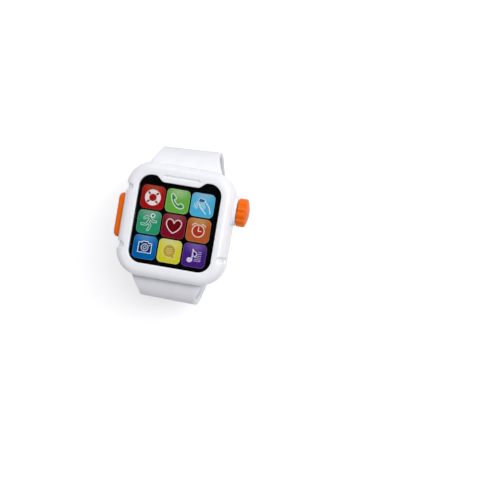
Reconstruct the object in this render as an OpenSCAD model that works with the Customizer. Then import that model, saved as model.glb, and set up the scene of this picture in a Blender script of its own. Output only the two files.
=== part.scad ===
/* [Case] */
// Width of the case, across the buttons
case_w = 44.2; // [43.4:0.2:47]
// Length of the case, from strap to strap
case_l = 46.2; // [45.6:0.2:50]
// Thickness of the case, back to frame top
case_t = 13; // [12.8:0.1:15]
// Radius of the case corners, seen from above
corner_r = 10.4; // [9.6:0.1:11.2]
// Wall of the case
wall_t = 2; // [1.6:0.1:2.2]
// Width of the raised frame around the screen
frame_w = 5.3; // [4.9:0.1:5.6]
// Radius of the frame's rounded outer edge
edge_r = 3.2; // [2.6:0.1:3.4]
// Radius of the frame's gently crowned top
crowning_r = 12; // [10:0.5:16]
// Radius of the back cover's outer edge
back_edge_r = 1.2; // [0.8:0.1:1.3]
// Thickness of the back cover
back_t = 1.4; // [1.3:0.1:1.6]

/* [Screen] */
// Depth of the screen below the frame
lens_drop = 1.2; // [1:0.1:1.4]
// Thickness of the clear window
lens_t = 1.2; // [1:0.1:1.4]
// Width of the window's rim under the frame
lens_lip = 1.2; // [0.9:0.1:1.4]
// Thickness of the printed icon card
card_t = 0.4; // [0.3:0.1:0.5]
// Reach of the frame's tab into the screen, at 12 o'clock
tab_reach = 2.3; // [1.8:0.1:2.6]
// Width of the tab at its free edge
tab_tip_w = 14.8; // [12:0.2:16]
// Width of the tab where it meets the frame
tab_root_w = 20; // [18:0.2:21]
// Width of the fine slit above the tab
slit_w = 0.8; // [0.6:0.1:1]
// Length of the fine slit
slit_l = 14.8; // [10:0.2:16]
// Width of the grip notches in the frame's sides
notch_w = 2.6; // [1.8:0.1:2.8]
// Reach of the grip notches into the frame
notch_reach = 3.2; // [2.6:0.1:3.6]
// Depth of the grip notches
notch_depth = 0.8; // [0.5:0.1:1]

/* [Crown] */
// Diameter of the crown
crown_d = 11.4; // [10:0.2:11.6]
// Length of the fluted part of the crown
crown_l = 3.6; // [3:0.1:4.4]
// Height of the crown's domed end
crown_dome_h = 1; // [0.7:0.1:1.4]
// Radius of each groove in the crown's rim
flute_r = 0.8; // [0.6:0.05:0.9]
// Distance of the crown above the middle of the case
crown_y = 8.7; // [8.2:0.1:9]
// Travel of the crown when it is pressed
crown_travel = 0.3; // [0.2:0.05:0.35]
// Diameter of the crown's steel stem
stem_d = 3; // [2.6:0.1:3.2]

/* [Side button] */
// Length of the side button
button_l = 18.2; // [14:0.1:18.6]
// Width of the side button
button_w = 5; // [4.4:0.1:5.2]
// Height of the side button above the case side
button_out = 2.9; // [2.4:0.1:3.4]
// Travel of the side button when it is pressed
button_travel = 0.4; // [0.2:0.05:0.5]

/* [Strap] */
// Thickness of the strap
strap_t = 2.4; // [2.2:0.1:2.6]
// Width of the strap where it leaves the case
strap_root_w = 29; // [27:0.5:29.4]
// Width of the strap round the wrist
strap_w = 22.8; // [20:0.2:24]
// Height of the wrist space inside the loop
wrist_h = 35.5; // [33:0.5:40]
// Reach of the strap's bend past the end of the case
bend_out = 8.3; // [7.7:0.1:9.3]
// Radius of the strap's bend beside the case, at mid thickness
bend_r = 6.5; // [6:0.1:7]
// Radius of the loop's lower corners, at mid thickness
loop_r = 16; // [15:0.5:17]
// Lean of the strap's sides towards each other, in degrees
side_lean = 12; // [8:1:14]
// Radius of the strap's softened edges
strap_edge_r = 0.9; // [0.6:0.1:1]

/* [Clasp] */
// Length of the clasp plate
clasp_l = 18; // [16:0.5:20]
// Width of the clasp plate
clasp_w = 16; // [14:0.5:17]
// Thickness of the clasp plate
clasp_t = 1.2; // [1:0.1:1.4]
// Height of the clasp plate below the strap
clasp_proud = 0.4; // [0.3:0.1:0.6]
// Diameter of the two studs
stud_d = 3; // [2.6:0.1:3.2]
// Spacing of the adjusting holes along the strap
hole_pitch = 4.5; // [4.2:0.1:4.8]

/* [Battery] */
// Diameter of a button cell
cell_d = 11.6; // [11.2:0.1:11.7]
// Height of a button cell
cell_h = 5.4; // [5:0.1:5.4]
// Thickness of the battery door
door_t = 1.2; // [1:0.1:1.2]

/* [Hidden] */
$fn = 48;

// Cut overrun and clearances
over = 1;
slip = 0.05;
fit = 0.1;
loose = 0.3;

// Heights of the stack, from the surface that the closed strap stands on
layer_gap = 0.3;
outer_layer_z = clasp_proud;
inner_layer_z = outer_layer_z + strap_t + layer_gap;
back_z = inner_layer_z + strap_t + wrist_h;
part_z = back_z + back_t;
top_z = back_z + case_t;
lens_top_z = top_z - lens_drop;
lens_z = lens_top_z - lens_t;
card_z = lens_z - card_t;
led_room = 1.2;
board_t = 1;
board_top_z = card_z - led_room;
board_z = board_top_z - board_t;
mid_z = back_z + case_t / 2;

// Plan of the case
half_w = case_w / 2;
half_l = case_l / 2;
corner_x = half_w - corner_r;
corner_y = half_l - corner_r;
inner_r = corner_r - frame_w;
cavity_r = corner_r - wall_t;
cavity_x = half_w - wall_t;
cavity_y = half_l - wall_t;
open_x = corner_x + inner_r;
open_y = corner_y + inner_r;
lip_t = 0.9;
lip_h = 1.6;

// The frame's section: a crowned top that runs tangent into the rounded outer edge
edge_cr = corner_r - edge_r;
crowning_offset = 0.6;
crowning_cr = edge_cr - crowning_offset;
crowning_cz = top_z - crowning_r;
edge_cz = crowning_cz + sqrt(pow(crowning_r - edge_r, 2) - pow(crowning_offset, 2));
tangent_r = crowning_cr + crowning_offset * crowning_r / (crowning_r - edge_r);
lip_chamfer = 0.35;
lip_top_z = crowning_cz + sqrt(pow(crowning_r, 2) - pow(crowning_cr - inner_r, 2));
tab_round = 1.2;
slit_depth = 0.4;
slit_offset = 0.45;
notch_inset = 1;
notch_y = corner_y - notch_inset;
notch_floor_z = mid_z - loose;

// Strap ends inside the case
sill_h = 0.8;
sill_z = part_z + sill_h;
strap_mid_z = sill_z + fit + strap_t / 2;
slot_top_z = strap_mid_z + strap_t / 2 + fit;
tongue_w = 24.8;
post_d = 3.6;
post_x = 9.5;
post_inset = 0.9;
post_y = cavity_y - post_inset;
post_top_z = card_z - loose;
pilot_d = 2;
screw_d = 1.9;
screw_head_d = 3.2;
screw_head_h = 1;
screw_l = 6;
cross_w = 0.5;
cross_l = 1.8;

// Battery bay, at the 6 o'clock end
cell_gap = 0.15;
cell_pitch = cell_d + 4 * cell_gap;
cell_bore_r = cell_d / 2 + cell_gap;
bay_wall = 0.7;
door_gap = 0.15;
bay_inset = 10.5;
bay_y = -cavity_y + bay_inset;
tongue_end = -bay_y + cell_bore_r + bay_wall + door_gap;
contact_t = 0.3;
cell_z = back_z + door_t + contact_t + fit;
cell_cap_d = 8.6;
cell_cap_h = 0.5;
door_ledge = 0.45;
door_r = cell_bore_r + door_ledge;
ear_r = 2.8;
ear_reach = 2.4;
ear_y = bay_y + door_r + ear_reach;
pad_rim = 0.8;
pad_r = door_r + pad_rim;
door_boss_r = 2.2;
door_boss_h = 4;
door_screw_l = 4.2;
head_share = 0.65;

// Crown and what it works
crown_rise = 0.4;
crown_z = mid_z + crown_rise;
crown_boss_out = 1.2;
crown_gap = crown_travel + fit;
boss_share = 0.385;
boss_r = crown_d * boss_share;
boss_lip = 0.25;
boss_half = crown_d / 2 + boss_lip - boss_r;
crown_x = half_w + crown_boss_out + crown_gap;
flutes = 13;
flute_turn = 14.8;
flute_out_share = 0.3;
rim_drop_share = 1.3;
stem_depth_share = 0.65;
stem_r = stem_d / 2;
collar_r = 3.1;
collar_l = 2.5;
collar_x = cavity_x - collar_l;
clip_t = 0.4;
wheel_t = 1;
wheel_r = 2.3;
wheel_teeth = 12;
wheel_tooth_r = 0.45;
slider_l = 2.8;
slider_w = 5.6;
slider_h = 5;
click_room = 3.2;
slider_x = collar_x - click_room - slider_l;
slider_rail = 0.8;
rail_share = 0.33;
spring_root_share = 0.33;
slider_floor = 1;
wheel_gap = 0.8;
spring_t = 0.25;
switch_w = 4.2;
switch_l = 3.6;
switch_h = 3.6;
plunger_r = 0.9;
plunger_out = 1.6;
plunger_in = 0.3;
bay_cut_w = 9.2;

// Side button and what it works
flange_t = 0.7;
flange_over = 0.2;
flange_side = 0.7;
button_round = 1.8;
button_post_r = 1.5;
button_post_l = 2.1;
flange_x = -cavity_x + door_gap;
button_post_x = flange_x + flange_t + button_post_l;

// Speaker
speaker_h = 3.6;
seat_t = 0.8;
speaker_spare = 2.7;
speaker_room = tongue_end - loose - bay_y - pad_r - speaker_spare;
speaker_r = speaker_room / 2 - fit - seat_t;
speaker_x = -6.9;
speaker_y = tongue_end - loose - speaker_r - fit - seat_t;
speaker_seat_h = 0.4;
magnet_share = 0.525;
magnet_r = speaker_r * magnet_share;
basket_share = 0.8;
sound_hole_r = 0.6;
hole_ring_share = 0.3;
sound_hole_ring = speaker_r * hole_ring_share;

// Inner pieces
spacer_over = 0.7;
spacer_x = open_x + spacer_over;
spacer_y = post_y - post_d / 2 - loose;
board_inset = 1.6;
board_x = cavity_x - board_inset;
chip_w = 6;
chip_t = 1;
chip_inset = 4;
chip_x = slider_x - plunger_out - switch_l - loose - chip_w / 2;
chip_y = spacer_y - chip_inset;
led_w = 1.6;
led_h = 0.8;
led_share = 0.5;
contact_w = 3;
contact_bump_r = 1.5;
contact_pad_r = 2.4;

// Stem and its clip
stem_end_x = crown_x + crown_l * stem_depth_share;
stem_start_x = slider_x + slider_floor;
clip_x = collar_x - fit - clip_t;
clip_r = 2.6;
clip_mouth = 1.8;
groove_r = 1.1;
wheel_x = slider_x + slider_l + wheel_gap;

// Clasp
clasp_corner_r = 3;
holes_each_way = 4;

// Straps: a path of straights and arcs, written as [length, radius], a radius of 0 being straight
edge_steps = 3;
tongue_step = 0.3;
path_start = tongue_end;
bend_u = half_l + bend_out - strap_t / 2 - bend_r;
bend_turn = 90 + side_lean;
loop_turn = 90 - side_lean;

function arc_len(r, turn) = PI * r * turn / 180;

function side_len(z) =
    (strap_mid_z - bend_r * (1 + sin(side_lean)) - z - loop_r * (1 - sin(side_lean))) / cos(side_lean);

function flat_end(z) =
    bend_u + bend_r * cos(side_lean) - side_len(z) * sin(side_lean) - loop_r * cos(side_lean);

function loop_path(z, flat, tail_r, tail_turn) = [
    [bend_u - path_start, 0],
    [arc_len(bend_r, bend_turn), bend_r],
    [side_len(z), 0],
    [arc_len(loop_r, loop_turn), loop_r],
    [flat, 0],
    if (tail_turn > 0) [arc_len(tail_r, tail_turn), tail_r]
];

// One step along the path: state is [outward, up, heading]
function advance(state, len, r) =
    r == 0
    ? [state[0] + len * cos(state[2]), state[1] - len * sin(state[2]), state[2]]
    : let(turn = len / r * 180 / PI, h = state[2])
      [
          state[0] - r * sin(h) + r * sin(h + turn),
          state[1] - r * cos(h) + r * cos(h + turn),
          h + turn
      ];

function path_at(path, s, state, i = 0) =
    i == len(path) - 1 || s <= path[i][0]
    ? advance(state, s, path[i][1])
    : path_at(path, s - path[i][0], advance(state, path[i][0], path[i][1]), i + 1);

function total(path, n, i = 0) = i >= n ? 0 : path[i][0] + total(path, n, i + 1);

short_z = outer_layer_z + strap_t / 2;
long_z = inner_layer_z + strap_t / 2;
short_flat_end = flat_end(short_z);
long_flat_end = flat_end(long_z);
short_tip = 12.5;
tail_r = loop_r - strap_t - layer_gap;
tail_turn = 62;
short_path = loop_path(short_z, short_flat_end + short_tip, 0, 0);
long_path = loop_path(long_z, long_flat_end + short_flat_end, tail_r, tail_turn);
strap_start = [path_start, strap_mid_z, 0];
short_len = total(short_path, len(short_path));
long_len = total(long_path, len(long_path));
short_tip_r = 5;
long_tip_r = 8;
stud_pitch = 2 * hole_pitch;
strap_hole_r = stud_d / 2 + fit;
tongue_len = cavity_y - path_start;

// Half width of a strap: tongue in the case, taper beside it, even round the wrist, rounded tip
function strap_half(s, at, total_len, tip_r) =
    let(
        root = strap_root_w / 2,
        even = strap_w / 2,
        way_share = min(1, max(0, (at[0] - half_l) / (bend_u + bend_r - half_l))),
        body = at[2] < 90 ? root + (even - root) * way_share : even,
        tip = total_len - s
    )
    s < tongue_len + tongue_step / 2
    ? tongue_w / 2
    : tip < tip_r ? body - tip_r + sqrt(pow(tip_r, 2) - pow(tip_r - tip, 2)) : body;

// Section of a strap in its own plane: across, and towards the wrist
function strap_section(half) = [
    for (corner = [0:3])
        let(
            sx = corner == 0 || corner == 3 ? 1 : -1,
            sy = corner < 2 ? 1 : -1
        )
        for (k = [0:edge_steps])
            let(a = corner * 90 + 90 * k / edge_steps)
            [
                sx * (half - strap_edge_r) + strap_edge_r * cos(a),
                sy * (strap_t / 2 - strap_edge_r) + strap_edge_r * sin(a)
            ]
];

function ring_at(path, s, total_len, tip_r, side) =
    let(
        at = path_at(path, s, strap_start),
        half = strap_half(s, at, total_len, tip_r)
    )
    [
        for (p = strap_section(half))
            [p[0] * side, side * (at[0] - p[1] * sin(at[2])), at[1] - p[1] * cos(at[2])]
    ];

// Places of the rings: ends of each stretch, and steps along its arcs
arc_step = 11;
tip_rings = 6;
function stations(path, tip_r) = let(
    all_len = total(path, len(path)),
    inner = [
        for (i = [0:len(path) - 1])
            let(
                from = total(path, i),
                n = path[i][1] == 0 ? 1 : ceil(path[i][0] / path[i][1] * 180 / PI / arc_step)
            )
            for (k = [1:n]) from + path[i][0] * k / n
    ]
) concat(
    [0, tongue_len, tongue_len + tongue_step],
    [for (s = inner) if (s > tongue_len + tongue_step && s < all_len - tip_r - fit) s],
    [for (k = [0:tip_rings]) all_len - tip_r * (1 - sin(90 * k / tip_rings))]
);

module strap_solid(path, tip_r, side) {
    places = stations(path, tip_r);
    all_len = total(path, len(path));
    rings = [for (s = places) ring_at(path, s, all_len, tip_r, side)];
    n = len(rings[0]);
    points = [for (ring = rings) for (p = ring) p];
    last = (len(rings) - 1) * n;
    polyhedron(
        points = points,
        faces = concat(
            [[for (j = [0:n - 1]) j]],
            [[for (j = [n - 1:-1:0]) last + j]],
            [
                for (i = [0:len(rings) - 2])
                    for (j = [0:n - 1])
                        for (half = [0, 1])
                            let(
                                a = i * n + j,
                                b = i * n + (j + 1) % n,
                                c = a + n,
                                d = b + n
                            )
                            half == 0 ? [a, c, b] : [b, c, d]
            ]
        ),
        convexity = 6
    );
}

// Plain shapes used by several pieces

module plan(half_x, half_y, r) {
    square([2 * half_x, 2 * (half_y - r)], center = true);
    square([2 * (half_x - r), 2 * half_y], center = true);
    for (sx = [-1, 1])
        for (sy = [-1, 1])
            translate([sx * (half_x - r), sy * (half_y - r)])
                circle(r);
}

module stadium(half_len, r) {
    square([2 * half_len, 2 * r], center = true);
    for (sx = [-1, 1])
        translate([sx * half_len, 0])
            circle(r);
}

module slab(z0, z1) {
    translate([0, 0, z0])
        linear_extrude(z1 - z0)
            children();
}

// A section in (distance from the corner centre, height) carried round the case
module case_sweep() {
    for (turn = [0:3])
        let(flip = turn % 2 == 1)
        rotate([0, 0, 90 * turn])
            translate([flip ? corner_y : corner_x, flip ? corner_x : corner_y, 0]) {
                rotate_extrude(angle = 90, $fn = 96)
                    children();
                rotate([90, 0, 0])
                    linear_extrude(2 * (flip ? corner_x : corner_y))
                        children();
            }
}

// A cylinder along X from x0 to x1
module rod(x0, x1, r, y = 0, z = 0) {
    translate([x0, y, z])
        rotate([0, 90, 0])
            cylinder(h = x1 - x0, r = r);
}

// A round-ended block whose axis is X, with a rounded outer end towards -X
module pill(x0, x1, half_len, r, round_r) {
    module section() {
        square([r - round_r, x1 - x0]);
        square([r, x1 - x0 - round_r]);
        translate([r - round_r, x1 - x0 - round_r])
            intersection() {
                circle(round_r);
                square(round_r);
            }
    }
    translate([x1, 0, 0])
        rotate([0, -90, 0])
            for (turn = [0, 180])
                rotate([0, 0, turn])
                    translate([0, half_len, 0]) {
                        rotate_extrude(angle = 180)
                            section();
                        rotate([90, 0, 0])
                            linear_extrude(2 * half_len)
                                section();
                    }
}

// Case

module frame_section() {
    intersection() {
        translate([crowning_cr, crowning_cz])
            circle(crowning_r, $fn = 192);
        translate([inner_r, lens_top_z])
            square([tangent_r - inner_r, lens_drop]);
    }
    intersection() {
        translate([edge_cr, edge_cz])
            circle(edge_r, $fn = 96);
        translate([tangent_r, edge_cz])
            square([corner_r - tangent_r, edge_r]);
    }
    translate([inner_r + lens_lip, lens_z])
        square([tangent_r - inner_r - lens_lip, lens_t]);
    translate([cavity_r, edge_cz])
        square([fit, lens_z - edge_cz]);
}

module lip_edge() {
    polygon([
        [inner_r - over, lip_top_z + over],
        [inner_r - over, lip_top_z - lip_chamfer - over],
        [inner_r, lip_top_z - lip_chamfer],
        [inner_r + lip_chamfer, lip_top_z + fit],
        [inner_r + lip_chamfer, lip_top_z + over]
    ]);
}

module tab_plan() {
    offset(r = tab_round)
        offset(r = -2 * tab_round)
            offset(r = tab_round) {
                polygon([
                    [-tab_root_w / 2, open_y],
                    [-tab_tip_w / 2, open_y - tab_reach],
                    [tab_tip_w / 2, open_y - tab_reach],
                    [tab_root_w / 2, open_y]
                ]);
                translate([-open_x, open_y])
                    square([2 * open_x, frame_w / 2]);
            }
}

module tab() {
    intersection() {
        slab(lens_top_z, lip_top_z)
            tab_plan();
        slab(lens_top_z - over, top_z)
            translate([-tab_root_w, open_y - tab_reach - over])
                square([2 * tab_root_w, tab_reach + over + lip_chamfer + fit]);
    }
}

// What lies deeper than the grip notches' floor, along the straight sides
module notch_core() {
    module section() {
        intersection() {
            translate([crowning_cr, crowning_cz])
                circle(crowning_r - notch_depth, $fn = 192);
            translate([-over, back_z])
                square([tangent_r + over, case_t]);
        }
        intersection() {
            translate([edge_cr, edge_cz])
                circle(edge_r - notch_depth, $fn = 96);
            translate([edge_cr, edge_cz])
                square([edge_r, edge_r]);
        }
        translate([-over, back_z])
            square([corner_r - notch_depth + over, edge_cz - back_z]);
    }
    translate([corner_x, half_l, 0])
        rotate([90, 0, 0])
            linear_extrude(case_l)
                section();
}

module notch(side, y) {
    difference() {
        slab(notch_floor_z, top_z + over)
            translate([side * half_w, y]) {
                translate([side * (notch_w / 2 - notch_reach), 0])
                    circle(notch_w / 2);
                translate([side > 0 ? notch_w / 2 - notch_reach : -over, -notch_w / 2])
                    square([notch_reach - notch_w / 2 + over, notch_w]);
            }
        mirror([side > 0 ? 0 : 1, 0, 0])
            notch_core();
    }
}

module front_shell() {
    color("whitesmoke")
        difference() {
            union() {
                difference() {
                    union() {
                        case_sweep()
                            frame_section();
                        slab(part_z, edge_cz)
                            difference() {
                                plan(half_w, half_l, corner_r);
                                plan(cavity_x, cavity_y, cavity_r);
                            }
                    }
                    case_sweep()
                        lip_edge();
                }
                tab();
                crown_boss();
                for (sx = [-1, 1])
                    for (sy = [-1, 1])
                        translate([sx * post_x, sy * post_y, sill_z + slip])
                            cylinder(h = post_top_z - sill_z - slip, r = post_d / 2);
            }
            slab(lip_top_z - slit_depth, top_z + over)
                translate([0, open_y + slit_offset])
                    stadium(slit_l / 2 - slit_w / 2, slit_w / 2);
            notch(-1, notch_y);
            notch(-1, -notch_y);
            notch(1, -notch_y);
            rod(collar_x - over, crown_x, stem_r + slip, crown_y, crown_z);
            button_window();
            for (sy = [-1, 1])
                strap_slot(sy);
            for (sx = [-1, 1])
                for (sy = [-1, 1])
                    translate([sx * post_x, sy * post_y, sill_z - over])
                        cylinder(h = screw_l + over, r = pilot_d / 2);
        }
}

module crown_boss() {
    translate([half_w - wall_t / 2, crown_y, crown_z])
        rotate([0, 90, 0])
            rotate([0, 0, 90])
                linear_extrude(wall_t / 2 + crown_boss_out)
                    stadium(boss_half, boss_r);
    rod(collar_x, cavity_x + wall_t / 2, collar_r, crown_y, crown_z);
}

module button_window() {
    translate([-half_w - over, 0, mid_z])
        rotate([0, 90, 0])
            rotate([0, 0, 90])
                linear_extrude(wall_t + 2 * over)
                    stadium((button_l - button_w) / 2, button_w / 2 + door_gap);
}

module strap_slot(sy) {
    slot_half = strap_root_w / 2 + fit;
    difference() {
        slab(part_z - over, slot_top_z)
            translate([-slot_half, sy > 0 ? cavity_y - over : -half_l - over])
                square([2 * slot_half, wall_t + 2 * over]);
        for (sx = [-1, 1])
            translate([sx * post_x, sy * post_y, sill_z])
                cylinder(h = case_t, r = post_d / 2);
    }
}

module back_cover() {
    color("whitesmoke")
        difference() {
            union() {
                slab(back_z, part_z)
                    plan(half_w - back_edge_r, half_l - back_edge_r, corner_r - back_edge_r);
                case_sweep()
                    back_edge_section();
                slab(part_z, part_z + lip_h)
                    locating_lip_plan();
                strap_sills();
                bay_walls();
                speaker_seat();
                slider_cradle();
                for (sx = [-1, 1])
                    for (sy = [-1, 1])
                        translate([sx * post_x, sy * post_y, back_z])
                            cylinder(h = sill_z - back_z, r = post_d / 2);
            }
            door_recess();
            for (i = [-1:1])
                translate([i * cell_pitch, bay_y, back_z - over])
                    cylinder(h = board_z - back_z + 2 * over, r = cell_bore_r);
            for (span = [[back_z - over, cell_z + fit], [cell_z + cell_h - fit, board_z + over]])
                slab(span[0], span[1])
                    translate([0, bay_y])
                        stadium(cell_pitch, cell_bore_r);
            translate([0, ear_y, back_z - over])
                cylinder(h = door_boss_h + door_t + over, r = pilot_d / 2);
            contact_slot();
            sound_holes();
            for (sx = [-1, 1])
                for (sy = [-1, 1])
                    translate([sx * post_x, sy * post_y, back_z - over]) {
                        cylinder(h = screw_head_h + fit + over, r = screw_head_d / 2 + fit);
                        cylinder(h = case_t, r = screw_d / 2 + fit);
                    }
        }
}

module back_edge_section() {
    translate([corner_r - back_edge_r, back_z + back_edge_r])
        intersection() {
            circle(back_edge_r);
            translate([-over, -back_edge_r])
                square([back_edge_r + over, back_edge_r]);
        }
    translate([corner_r - back_edge_r - over, back_z + back_edge_r])
        square([back_edge_r + over, back_t - back_edge_r]);
}

module locating_lip_plan() {
    difference() {
        plan(cavity_x - fit, cavity_y - fit, cavity_r - fit);
        plan(cavity_x - fit - lip_t, cavity_y - fit - lip_t, cavity_r - fit - lip_t);
        square([strap_root_w + 2 * fit, case_l], center = true);
    }
}

// Low walls that close the strap slots from below
module strap_sills() {
    slab(part_z - fit, sill_z)
        intersection() {
            plan(half_w - slip, half_l - slip, corner_r - slip);
            for (sy = [-1, 1])
                translate([-strap_root_w / 2, sy > 0 ? cavity_y : -half_l])
                    square([strap_root_w, wall_t]);
        }
}

module bay_walls() {
    slab(back_z, board_z)
        translate([0, bay_y])
            stadium(cell_pitch, cell_bore_r + bay_wall);
    slab(back_z, sill_z) {
        translate([0, bay_y])
            stadium(cell_pitch, pad_r);
        ear_plan(ear_r + door_gap + bay_wall);
    }
    translate([0, ear_y, back_z])
        cylinder(h = door_boss_h + door_t, r = door_boss_r);
}

module ear_plan(r) {
    translate([0, ear_y])
        circle(r);
    translate([-r, bay_y])
        square([2 * r, ear_y - bay_y]);
}

module door_plan(grow) {
    translate([0, bay_y])
        stadium(cell_pitch, door_r + grow);
    ear_plan(ear_r + grow);
}

module door_recess() {
    slab(back_z - over, back_z + door_t + slip)
        door_plan(door_gap);
}

module contact_slot() {
    slab(part_z + 2 * fit, board_z + over)
        translate([cell_pitch - contact_w / 2 - fit, bay_y + cell_d / 2 - fit])
            square([contact_w + 2 * fit, bay_wall + 2 * over]);
}

module speaker_seat() {
    slab(back_z, part_z + speaker_seat_h)
        translate([speaker_x, speaker_y])
            difference() {
                circle(speaker_r + fit + seat_t);
                circle(speaker_r - seat_t);
            }
    slab(part_z, part_z + speaker_seat_h + speaker_h / 2)
        translate([speaker_x, speaker_y])
            difference() {
                circle(speaker_r + fit + seat_t);
                circle(speaker_r + fit);
            }
}

module sound_holes() {
    slab(back_z - over, part_z + over)
        translate([speaker_x, speaker_y]) {
            circle(sound_hole_r);
            for (i = [0:5])
                rotate([0, 0, 60 * i])
                    translate([sound_hole_ring, 0])
                        circle(sound_hole_r);
        }
}

module slider_cradle() {
    floor_z = crown_z - slider_h / 2 - slip;
    cradle_w = slider_w + 2 * slip + 2 * slider_rail;
    translate([slider_x - crown_gap, crown_y - cradle_w / 2, back_z])
        cube([slider_l + crown_gap, cradle_w, floor_z - back_z]);
    for (sy = [-1, 1])
        translate([
            slider_x - crown_gap,
            crown_y + sy * (slider_w / 2 + slip + slider_rail / 2) - slider_rail / 2,
            back_z
        ])
            cube([slider_l + crown_gap, slider_rail, floor_z + slider_h * rail_share - back_z]);
}

module case_screws() {
    color("silver")
        for (sx = [-1, 1])
            for (sy = [-1, 1])
                translate([sx * post_x, sy * post_y, back_z + fit])
                    screw(screw_l);
}

module screw(length) {
    difference() {
        union() {
            cylinder(h = screw_head_h, r = screw_head_d / 2);
            cylinder(h = screw_head_h + length, r = screw_d / 2);
        }
        for (turn = [0, 90])
            rotate([0, 0, turn])
                cube([cross_l, cross_w, screw_head_h], center = true);
    }
}

// Screen

module screen_lens() {
    color([0.1, 0.1, 0.12])
        slab(lens_z, lens_top_z)
            plan(open_x + lens_lip - fit, open_y + lens_lip - fit, inner_r + lens_lip - fit);
}

module icon_card() {
    color("black")
        slab(card_z, lens_z)
            plan(open_x + lens_lip / 2, open_y + lens_lip / 2, inner_r + lens_lip / 2);
}

module light_spacer() {
    ring_w = 1.2;
    color("white")
        slab(board_top_z, card_z)
            difference() {
                plan(spacer_x, spacer_y, inner_r);
                plan(spacer_x - ring_w, spacer_y - ring_w, inner_r - ring_w);
                crown_bay();
            }
}

module crown_bay() {
    translate([slider_x - loose, crown_y - bay_cut_w / 2])
        square([case_w, bay_cut_w]);
}

module circuit_board() {
    color("darkgreen")
        slab(board_z, board_top_z)
            difference() {
                plan(board_x, spacer_y, inner_r);
                crown_bay();
            }
}

module leds() {
    color("lightyellow")
        for (sx = [-1, 1])
            for (sy = [-1, 1])
                translate([sx * open_x * led_share, sy * open_y * led_share, board_top_z + led_h / 2])
                    cube([led_w, led_w, led_h], center = true);
}

module sound_chip() {
    color([0.12, 0.12, 0.12])
        translate([chip_x, chip_y, board_z - chip_t / 2])
            cube([chip_w, chip_w, chip_t], center = true);
}

module speaker() {
    speaker_z = part_z + speaker_seat_h;
    frame_h = speaker_h / 2;
    cone_depth = 0.9;
    color("dimgray")
        translate([speaker_x, speaker_y, speaker_z])
            difference() {
                union() {
                    cylinder(h = frame_h, r = speaker_r);
                    translate([0, 0, frame_h])
                        cylinder(h = speaker_h - frame_h, r1 = speaker_r * basket_share, r2 = magnet_r);
                }
                translate([0, 0, -over])
                    cylinder(h = over + cone_depth, r = speaker_r - cone_depth);
            }
}

module speaker_leads() {
    lead_d = 0.9;
    foot_z = part_z + speaker_seat_h + speaker_h;
    color("firebrick")
        for (sx = [-1, 1])
            translate([speaker_x + sx * magnet_r / 2, speaker_y, foot_z])
                cylinder(h = board_z - foot_z, r = lead_d / 2);
}

// Crown and its switch

module crown_envelope() {
    rim_r = crown_d / 2;
    rim_drop = crown_dome_h * rim_drop_share;
    dome_r = (pow(rim_r, 2) + pow(rim_drop, 2)) / (2 * rim_drop);
    translate([crown_x + crown_l + crown_dome_h - dome_r, crown_y, crown_z])
        sphere(dome_r, $fn = 128);
}

module crown_knob() {
    color("orangered")
        difference() {
            intersection() {
                translate([crown_x, crown_y, crown_z])
                    rotate([0, 90, 0])
                        linear_extrude(crown_l + crown_dome_h)
                            difference() {
                                circle(crown_d / 2, $fn = 96);
                                for (i = [0:flutes - 1])
                                    rotate([0, 0, 360 * i / flutes + flute_turn])
                                        translate([crown_d / 2 + flute_r * flute_out_share, 0])
                                            circle(flute_r, $fn = 24);
                            }
                crown_envelope();
            }
            rod(crown_x - over, stem_end_x + slip, stem_r + slip / 2, crown_y, crown_z);
        }
}

module crown_stem() {
    color("silver")
        difference() {
            rod(stem_start_x + slip, stem_end_x, stem_r, crown_y, crown_z);
            difference() {
                rod(clip_x - slip, clip_x + clip_t + slip, stem_r + over, crown_y, crown_z);
                rod(clip_x - over, clip_x + clip_t + over, groove_r, crown_y, crown_z);
            }
        }
}

module stem_clip() {
    color("gray")
        difference() {
            rod(clip_x, clip_x + clip_t, clip_r, crown_y, crown_z);
            rod(clip_x - over, clip_x + clip_t + over, groove_r + slip, crown_y, crown_z);
            translate([clip_x - over, crown_y - clip_mouth / 2, crown_z - clip_r - over])
                cube([clip_t + 2 * over, clip_mouth, clip_r + over]);
        }
}

module click_wheel() {
    color("ivory")
        translate([wheel_x, crown_y, crown_z])
            rotate([0, 90, 0])
                linear_extrude(wheel_t)
                    difference() {
                        circle(wheel_r);
                        circle(stem_r + slip / 2);
                        for (i = [0:wheel_teeth - 1])
                            rotate([0, 0, 360 * i / wheel_teeth])
                                translate([wheel_r, 0])
                                    circle(wheel_tooth_r, $fn = 24);
                    }
}

module crown_slider() {
    color("ivory")
        difference() {
            translate([slider_x, crown_y - slider_w / 2, crown_z - slider_h / 2])
                cube([slider_l, slider_w, slider_h]);
            rod(stem_start_x, slider_x + slider_l + over, stem_r + slip, crown_y, crown_z);
        }
}

module click_spring() {
    strip_w = 2.4;
    nub_r = 0.3;
    strip_z = crown_z + slider_h / 2;
    strip_start_x = slider_x + slider_l * spring_root_share;
    color("silver") {
        translate([strip_start_x, crown_y - strip_w / 2, strip_z])
            cube([wheel_x + wheel_t - strip_start_x, strip_w, spring_t]);
        translate([wheel_x, crown_y, crown_z + wheel_r + nub_r / 2])
            rotate([0, 90, 0])
                cylinder(h = wheel_t, r = nub_r);
    }
}

module switch_body(x, side, y) {
    hole_depth = plunger_in + max(crown_travel, button_travel) + fit;
    difference() {
        translate([side > 0 ? x - switch_l : x, y - switch_w / 2, board_z - switch_h])
            cube([switch_l, switch_w, switch_h]);
        rod(side > 0 ? x - hole_depth : x - over, side > 0 ? x + over : x + hole_depth,
            plunger_r + slip, y, board_z - switch_h / 2);
    }
}

module crown_switch() {
    color([0.12, 0.12, 0.12])
        switch_body(slider_x - plunger_out, 1, crown_y);
}

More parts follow.
